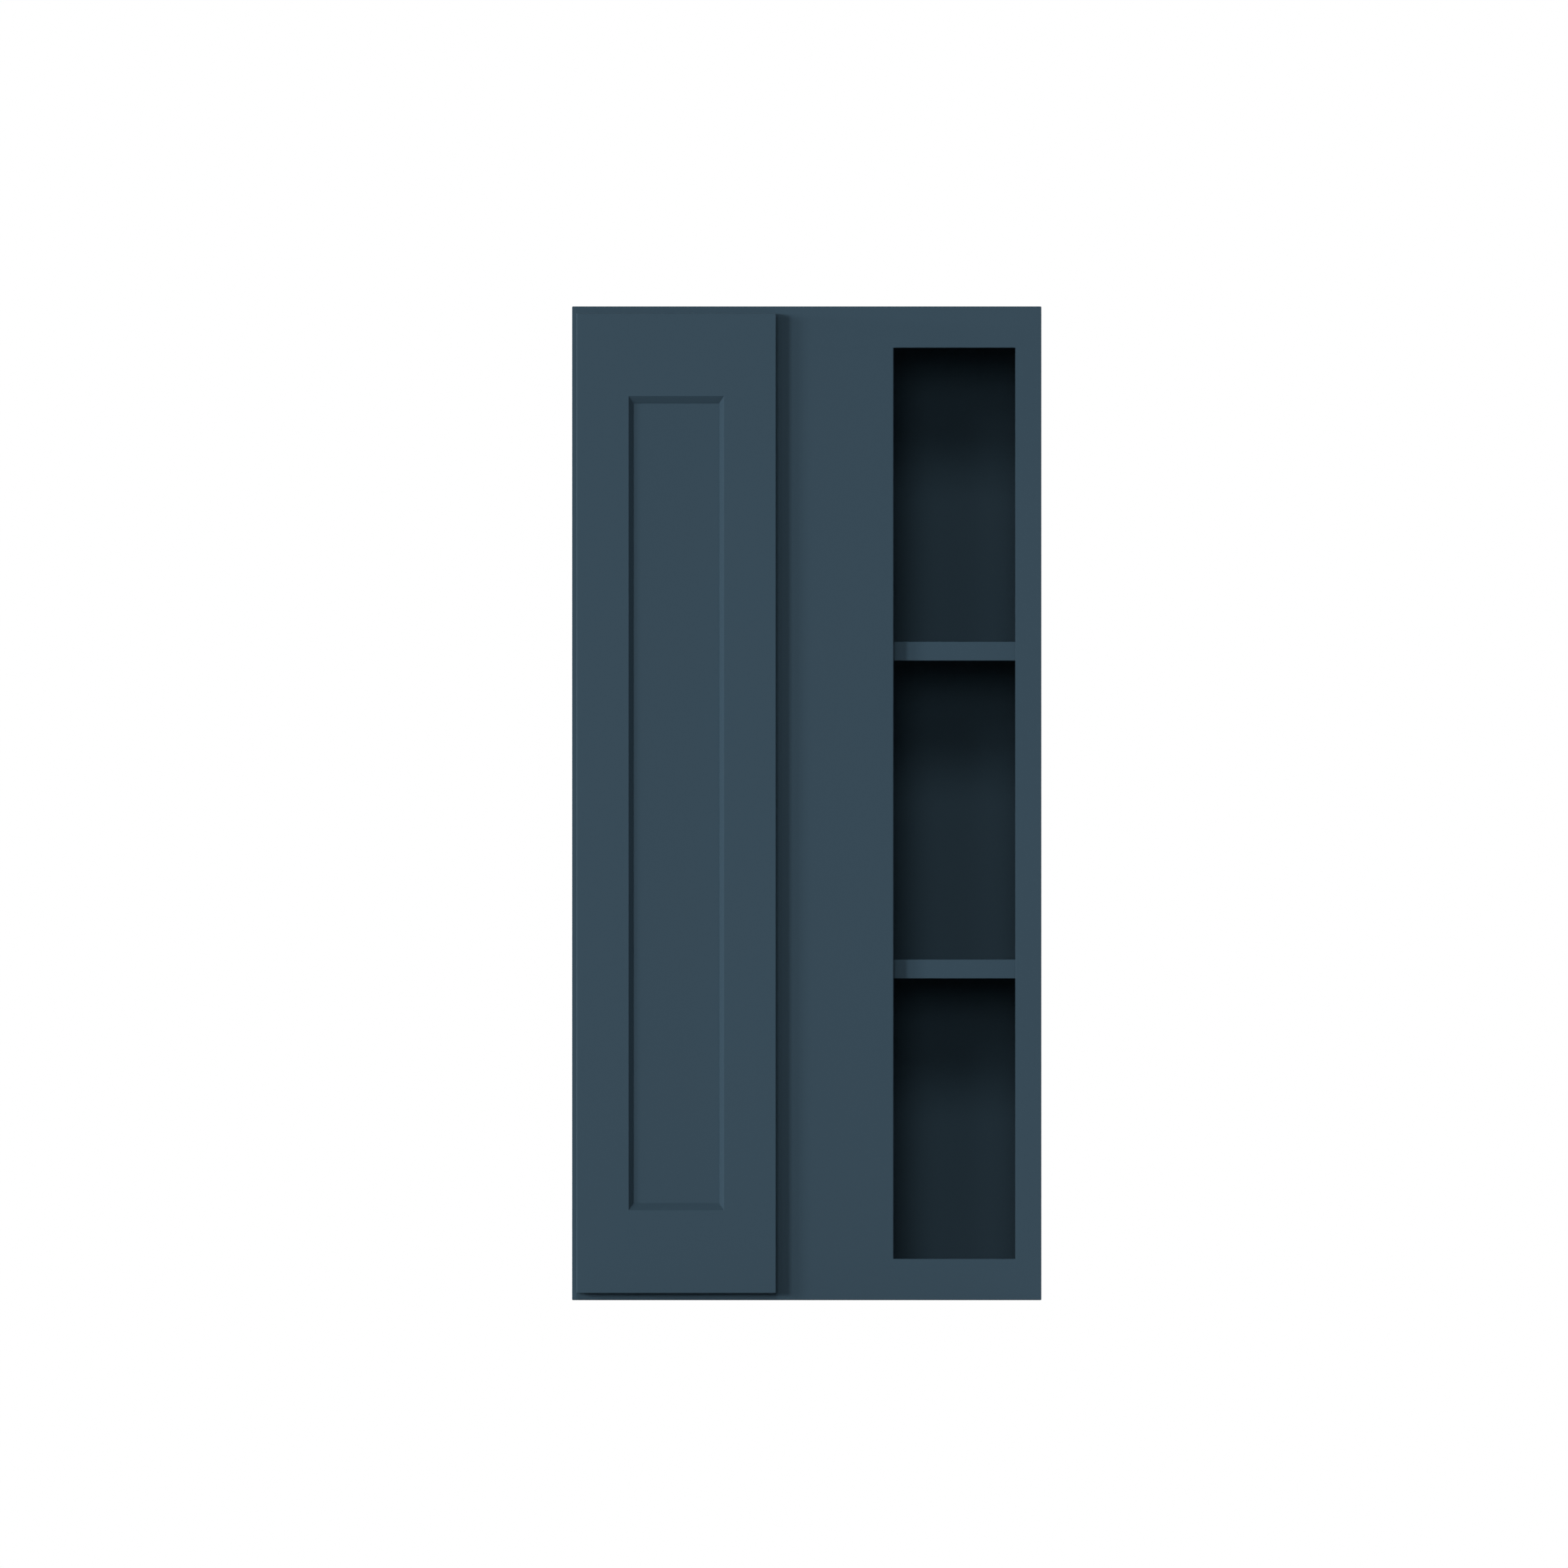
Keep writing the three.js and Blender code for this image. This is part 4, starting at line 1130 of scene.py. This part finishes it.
# %% Parts of a hinge cup
CUP_WALL = 0.0010
CUP_PLAY = 0.0003
CUP_ROUNDING = [SQUARE, 0.0016, 0.0001, 0.0002, 0.0005, 0.0007, 0.0009, SQUARE]
FLANGE_THICKNESS = 0.0010
FLANGE_RIM = 0.0015
HINGE_AXIS_INSET = 0.0080
HINGE_AXIS_DEPTH = 0.0100
PIN_RADIUS = 0.0010
PIN_CHEEK_RADIUS = 0.0025
ARM_HALF_WIDTH = 0.0050
ARM_WAY = ARM_HALF_WIDTH + 2 * CUP_PLAY

axis_x = door_low.x + HINGE_AXIS_INSET
axis_y = door_high.y - HINGE_AXIS_DEPTH
pot_radius = CUP_BORE_RADIUS - CUP_PLAY
pot_floor = CUP_PLAY - CUP_BORE_DEPTH  # from the door's back face


def cup_pot(centre):
    """The pot with its flange, turned about the bore's axis from the door's back face."""
    return turned(rounded_profile([
        (pot_floor, 0),
        (pot_floor, pot_radius),
        (GLUE_LINE, pot_radius),
        (GLUE_LINE, CUP_BORE_RADIUS + FLANGE_RIM),
        (FLANGE_THICKNESS, CUP_BORE_RADIUS + FLANGE_RIM),
        (FLANGE_THICKNESS, pot_radius - CUP_WALL),
        (pot_floor + CUP_WALL, pot_radius - CUP_WALL),
        (pot_floor + CUP_WALL, 0),
    ], CUP_ROUNDING), centre, "y")


def pin_cheeks(height):
    """Two cheeks beside the arm. The outline is a half circle round the pin on a straight leg."""
    t = np.linspace(0, math.pi, 4 * CORNER_STEPS + 1)
    head = [axis_x, axis_y] + PIN_CHEEK_RADIUS * np.stack([np.cos(t), np.sin(t)], axis=-1)
    foot_y = door_high.y + pot_floor + CUP_WALL / 2
    feet = [[axis_x - PIN_CHEEK_RADIUS, foot_y], [axis_x + PIN_CHEEK_RADIUS, foot_y]]
    outline = np.concatenate([head, feet])
    cheeks = []
    for side in (-1, 1):
        stations = np.array([height + side * ARM_WAY, height + side * pot_radius])
        outlines = np.broadcast_to(outline, (2, *outline.shape))
        cheeks.append(skin(carried(outlines, stations, "z")))
    return cheeks


print("the pot is", round(-pot_floor * 1000, 1), "mm deep and", round(pot_radius * 2000, 1), "wide")

# %% Hinge cup
METAL_LEAD = 0.0010  # how far a drill starts before the sheet metal
METAL_HOLE_STEPS = 24
EAR_EASE = 0.0003
EAR_SHORTFALL = 0.00001  # keeps an ear's corner radius under half its width


def hinge_cup(which):
    """The whole cup at a hinge."""
    height = middle_of(f"{which}_hinge_cup").z
    face = (cup_x, door_high.y, height)
    screws = [middle_of(f"{which}_hinge_cup_screw_{place}") for place in ("bottom", "top")]
    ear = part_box(f"{which}_hinge_cup")[1].x - screws[0].x
    ears_low = (screws[0].x - ear, door_high.y + GLUE_LINE, screws[0].z - ear)
    ears_high = (screws[0].x + ear, door_high.y + FLANGE_THICKNESS, screws[1].z + ear)
    pot = mesh_of(cup_pot(face))
    ears = mesh_of(slab(ears_low, ears_high, "y", EAR_EASE, corner=ear - EAR_SHORTFALL))
    hollow = mesh_of(rod(face, "y", pot_radius - CUP_WALL, pot_floor + CUP_WALL, DRILL_OVERRUN))
    shell = mesh_of(rod(face, "y", pot_radius - CUP_WALL / 2, pot_floor, FLANGE_THICKNESS))
    flanged = combined(pot, combined(ears, hollow, "DIFFERENCE"), "UNION")
    cheeks = combined(mesh_of(*pin_cheeks(height)), shell, "INTERSECT")
    cup = combined(flanged, cheeks, "UNION")
    rim_opening = slab(
        (door_low.x, axis_y, height - ARM_WAY),
        (axis_x, door_high.y + DRILL_OVERRUN, height + ARM_WAY),
        "y", SHEET_EASE,
    )
    pin_place = (axis_x, axis_y, height)
    pin_hole = rod(
        pin_place, "z", PIN_RADIUS + CUP_PLAY, -pot_radius, pot_radius, METAL_HOLE_STEPS
    )
    holes = [
        screw_drill((screw.x, door_high.y, screw.z), "y", METAL_LEAD, METAL_HOLE_STEPS)
        for screw in screws
    ]
    return combined(cup, mesh_of(rim_opening, pin_hole, *holes), "DIFFERENCE")


for which in ("upper", "lower"):
    node = f"{which}_hinge_cup"
    cup_mesh = hinge_cup(which)
    add_piece(node, cup_mesh, "door", nickel_plate)
    print(node, "has", len(cup_mesh.polygons), "faces")


# %% [markdown]
# ## The hinge arm
# The arm carries the door. It is one strip, rolled into an eye round the pin, bent round the
# cup's rim and screwed flat on the side of the stile. The strip is an L-shaped outline carried
# along the pin's direction, because its bend is the same all along. The eye is a turned ring and
# the screwed end a slab with round corners, and Booleans weld the three.

# %% Arm strip
EYE_WALL = 0.0011
ARM_THICKNESS = 0.0018
BEND_RADIUS = 0.0007
METAL_EASE = 0.00035

eye_inner = PIN_RADIUS + CUP_PLAY
eye_outer = eye_inner + EYE_WALL
metal_x = left_high.x + GLUE_LINE  # the side of the arm that lies on the stile


def arm_strip(height, end_y):
    """The bent strip: from the eye across the cup, then out of it along the stile.

    The outline is an L in x and y whose bend is round inside and, one thickness further out,
    outside. It is carried along z.
    """
    half = ARM_THICKNESS / 2
    corners = np.array([
        [axis_x + eye_inner + EYE_WALL / 2, axis_y - half],
        [metal_x + ARM_THICKNESS, axis_y - half],
        [metal_x + ARM_THICKNESS, end_y],
        [metal_x, end_y],
        [metal_x, axis_y + half],
        [axis_x + eye_inner + EYE_WALL / 2, axis_y + half],
    ])
    radii = [SQUARE, BEND_RADIUS + ARM_THICKNESS, METAL_EASE, METAL_EASE, BEND_RADIUS, SQUARE]
    outline = eased(corners[None], np.array([radii]), steps=2 * CORNER_STEPS)
    stations = np.array([height - ARM_HALF_WIDTH, height + ARM_HALF_WIDTH])
    return skin(carried(np.repeat(outline, 2, axis=0), stations, "z"))


print("the arm reaches", round((metal_x - axis_x) * 1000, 1), "mm from the pin to the stile")

# %% Hinge arm
PLATE_CORNER = 0.0040
PLATE_SETBACK = 0.0012  # behind the front of the frame
EYE_EASE = 0.00015


def hinge_arm(which):
    """The arm with its eye round the pin and its screwed plate."""
    low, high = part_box(f"{which}_hinge_arm")
    height = (low.z + high.z) / 2
    screws = [middle_of(f"{which}_hinge_plate_screw_{place}") for place in ("bottom", "top")]
    eye = turned(rounded_profile([
        (-ARM_HALF_WIDTH, eye_inner),
        (-ARM_HALF_WIDTH, eye_outer),
        (ARM_HALF_WIDTH, eye_outer),
        (ARM_HALF_WIDTH, eye_inner),
    ], EYE_EASE), (axis_x, axis_y, height), "z", steps=ROUND_STEPS // 2)
    plate = slab(
        (metal_x, left_low.y + PLATE_SETBACK, low.z),
        (metal_x + ARM_THICKNESS, high.y, high.z),
        "x", METAL_EASE, corner=PLATE_CORNER,
    )
    arm = combined(mesh_of(arm_strip(height, high.y - METAL_EASE)), mesh_of(plate), "UNION")
    arm = combined(arm, mesh_of(eye), "UNION")
    holes = [
        screw_drill((metal_x, screw.y, screw.z), "x", METAL_LEAD, METAL_HOLE_STEPS)
        for screw in screws
    ]
    return combined(arm, mesh_of(*holes), "DIFFERENCE")


for which in ("upper", "lower"):
    node = f"{which}_hinge_arm"
    arm_mesh = hinge_arm(which)
    add_piece(node, arm_mesh, "cabinet", nickel_plate)
    print(node, "encloses", round(enclosed_volume(arm_mesh) * 1e6, 2), "cubic centimetres")


# %% [markdown]
# ## Screws and hinge pins
# A pan-head screw has a low domed head with a cross recess. Head and shank are one turned
# profile, whose dome is a superellipse: the height falls as (1 - (r / R) ** 2.6) ** (1 / 2.6). The
# recess is a cross that tapers as it goes down, cut from the head. All eight are copies of one
# shape, turned to the axis that each screw points along. A hinge pin is a plain turned rod.

# %% Screw shape
SCREW_HEAD_RADIUS = 0.0033
SCREW_HEAD_HEIGHT = 0.0018
SCREW_STEPS = 32
RIM_SHARE = 0.3  # of the head's height, below the dome
RIM_FOOT = (0.97, 0.1)  # where the rim starts, as shares of the head's radius and the rim's height
DOME_POWER = 2.6
DOME_POINTS = 13
RECESS_REACH = 0.0019  # from the middle to the end of each arm of the cross
RECESS_HALF_WIDTH = 0.00042
RECESS_DEPTH = 0.0012
RECESS_TAPER = 0.5


def cross_recess():
    """A cross, twelve corners round, that narrows to half its size at the bottom."""
    a, b = RECESS_HALF_WIDTH, RECESS_REACH
    cross = np.array([
        [b, -a], [b, a], [a, a], [a, b], [-a, b], [-a, a],
        [-b, a], [-b, -a], [-a, -a], [-a, -b], [a, -b], [a, -a],
    ])
    top = SCREW_HEAD_HEIGHT + PILOT_PLAY
    outlines = np.stack([RECESS_TAPER * cross, cross, cross])
    return skin(carried(outlines, [top - RECESS_DEPTH, SCREW_HEAD_HEIGHT, top], "z"))


def screw_shape(length):
    """A screw along z, with the underside of its head at the origin and its point below."""
    radius = SCREW_HEAD_RADIUS * np.sin(np.linspace(math.pi / 2, 0, DOME_POINTS))
    share = np.clip(1 - (radius / SCREW_HEAD_RADIUS) ** DOME_POWER, 0, 1)
    rim = RIM_SHARE * SCREW_HEAD_HEIGHT
    dome = rim + (SCREW_HEAD_HEIGHT - rim) * share ** (1 / DOME_POWER)
    shank = [(-length, 0), (-length + SCREW_RADIUS, SCREW_RADIUS), (0, SCREW_RADIUS)]
    head = [(0, RIM_FOOT[0] * SCREW_HEAD_RADIUS), (RIM_FOOT[1] * rim, SCREW_HEAD_RADIUS)]
    profile = [*shank, *head, *zip(dome.tolist(), radius.tolist())]
    profile[-1] = (profile[-1][0], 0)
    body = mesh_of(turned(profile, (0, 0, 0), "z", steps=SCREW_STEPS))
    return combined(body, mesh_of(cross_recess()), "DIFFERENCE")


head_side = {"cup": "y", "plate": "x"}  # the axis along which a screw's head is at the high end
screws = {}
for kind, axis in head_side.items():
    low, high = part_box(f"upper_hinge_{kind}_screw_top")
    screws[kind] = screw_shape(getattr(high - low, axis) - SCREW_HEAD_HEIGHT)
    print("a screw for the", kind, "has", len(screws[kind].vertices), "points")

# %% Place the screws
def placed(shape, centre, axis):
    """A copy of a shape, turned from z to another axis and moved to its place."""
    copy = shape.copy()
    moved = triples(copy.vertices, "co") @ AXES[axis] + np.asarray(centre)
    copy.vertices.foreach_set("co", moved.ravel())
    copy.update()
    return copy


for which in ("upper", "lower"):
    for place in ("top", "bottom"):
        for kind, body in (("cup", "door"), ("plate", "cabinet")):
            node = f"{which}_hinge_{kind}_screw_{place}"
            axis = head_side[kind]
            seat = middle_of(node)
            setattr(seat, axis, getattr(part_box(node)[1], axis) - SCREW_HEAD_HEIGHT)
            add_piece(node, placed(screws[kind], seat, axis), body, nickel_plate)
            print(node, "sits at z =", round(seat.z, 4))

# %% Hinge pins
PIN_EASE = 0.0002
PIN_SIDES = 24
for which in ("upper", "lower"):
    node = f"{which}_hinge_pin"
    half = (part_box(node)[1].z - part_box(node)[0].z) / 2
    pin_profile = rounded_profile(
        [(-half, 0), (-half, PIN_RADIUS), (half, PIN_RADIUS), (half, 0)], PIN_EASE
    )
    pin_mesh = mesh_of(turned(pin_profile, middle_of(node), "z", steps=PIN_SIDES))
    add_piece(node, pin_mesh, "door", nickel_plate)
    print(node, "is", round(half * 2000, 1), "mm long, at z =", round(middle_of(node).z, 4))


# %% [markdown]
# ## Studio light
# The picture's light is soft and comes from the left, a little above the middle. The shadow beside
# the door tells how it is spread: half of the light is back 11 mm from the door and all of it
# after 37 mm, and the door stands 21.5 mm proud, so the light comes from 20 to 60 degrees. The
# back of the open bay is lit too, which asks for lamps nearly straight ahead, and one from far
# left lights the slope that faces it. Suns light every board alike wherever it is, and the angle
# that they fill softens their shadows.

# %% Lamps
# name: degrees to the right of the camera, degrees up, angle filled, share of the front's light
FRONT_LAMPS = {
    "key": (-32, 5, 10, 0.32),
    "key_edge": (-50, 8, 16, 0.19),
    "far_left": (-85, 4, 5, 0.03),
    "bay_left": (-15, 12, 4, 0.032),
    "ahead_high": (-2, 21, 12, 0.18),
    "ahead_low": (-2, 5, 9, 0.13),
}
# name: degrees to the right of the camera, degrees up, angle filled, light on a face towards it
REAR_LAMPS = {
    "rear_left": (-140, 20, 40, 0.5),
    "rear_right": (125, 25, 40, 0.6),
}


def sun(name, azimuth, elevation, filled, light):
    """A sun that shines from a direction, given in degrees from the camera's side."""
    data = bpy.data.lights.new(name, "SUN")
    data.angle = math.radians(filled)
    data.energy = light * math.pi
    lamp = new_object(name, data)
    lamp.rotation_euler = (math.radians(90 - elevation), 0, math.radians(azimuth))


for name, (azimuth, elevation, filled, share) in FRONT_LAMPS.items():
    slant = math.cos(math.radians(azimuth)) * math.cos(math.radians(elevation))
    sun(name, azimuth, elevation, filled, share / slant)
for name, (azimuth, elevation, filled, light) in REAR_LAMPS.items():
    sun(name, azimuth, elevation, filled, light)
print("the front lamps add up to", round(sum(lamp[3] for lamp in FRONT_LAMPS.values()), 3))


# %% [markdown]
# ## White surroundings
# The picture's background is plain white, but a white room would light the bay evenly and wash
# out its shade. So the camera, and what mirrors or glass show, see white, while everything else
# gets a weak even light.

# %% World
AMBIENT = 0.05
WHITE = (1, 1, 1, 1)


def seen_directly(tree):
    """1 for camera, glossy and transmission rays, and 0 for all others."""
    rays = tree.nodes.new("ShaderNodeLightPath").outputs
    shiny = calculated(tree, "MAXIMUM", rays["Is Glossy Ray"], rays["Is Transmission Ray"])
    return calculated(tree, "MAXIMUM", rays["Is Camera Ray"], shiny)


def mixed(tree, factor, first, second):
    """A shader that goes from the first to the second as the factor goes from 0 to 1."""
    mix = tree.nodes.new("ShaderNodeMixShader")
    for socket, value in zip(mix.inputs, (factor, first, second)):
        feed(tree, socket, value)
    return mix.outputs[0]


world = bpy.data.worlds.new("white_room")
scene.world = world
tree = emptied(world)
dim = add_node(tree, "ShaderNodeBackground", Color=WHITE, Strength=AMBIENT).outputs[0]
white = add_node(tree, "ShaderNodeBackground", Color=WHITE, Strength=1.0).outputs[0]
room = mixed(tree, seen_directly(tree), dim, white)
add_node(tree, "ShaderNodeOutputWorld", Surface=room)
print("the room is white to the camera and lights all else at", AMBIENT)


# %% [markdown]
# ## The floor
# A wall cabinet has no floor, but one just below it keeps a soft shadow and sends a little light
# up under the door. To the eye it is mostly white, so that it melts into the background. From
# below it is clear, so that the underside can be looked at.

# %% Floor
FLOOR_WHITENESS = 0.6  # how far the eye sees pure white in place of the lit floor
FLOOR_COLOUR = (0.42, 0.42, 0.42, 1)
FLOOR_HALF = 6.0
FLOOR_GAP = 0.0005

material = bpy.data.materials.new("pale_floor")
tree = emptied(material)
matt = add_node(tree, "ShaderNodeBsdfDiffuse", Color=FLOOR_COLOUR).outputs[0]
glow = add_node(tree, "ShaderNodeEmission", Color=WHITE, Strength=1.0).outputs[0]
share = calculated(tree, "MULTIPLY", seen_directly(tree), FLOOR_WHITENESS)
above = mixed(tree, share, matt, glow)
clear = tree.nodes.new("ShaderNodeBsdfTransparent").outputs[0]
from_below = tree.nodes.new("ShaderNodeNewGeometry").outputs["Backfacing"]
add_node(tree, "ShaderNodeOutputMaterial", Surface=mixed(tree, from_below, above, clear))

corners = np.array([[-1, -1], [1, -1], [1, 1], [-1, 1]]) * FLOOR_HALF
floor_points = np.column_stack([corners, np.full(4, cad_low.z - FLOOR_GAP)])
floor_mesh = bpy.data.meshes.new("floor")
floor_mesh.from_pydata(floor_points, [], [[0, 1, 2, 3]])
floor_mesh.materials.append(material)
new_object("floor", floor_mesh)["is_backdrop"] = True
print("the floor is", FLOOR_GAP * 1000, "mm below the cabinet")


# %% [markdown]
# ## Size
# The finished pieces must stay inside the box of the solids that they stand for. The solids' box is
# printed at the start, and this prints the finished pieces' box.

# %% Print the size
low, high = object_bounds()
print("finished pieces from", tuple(low), "to", tuple(high))
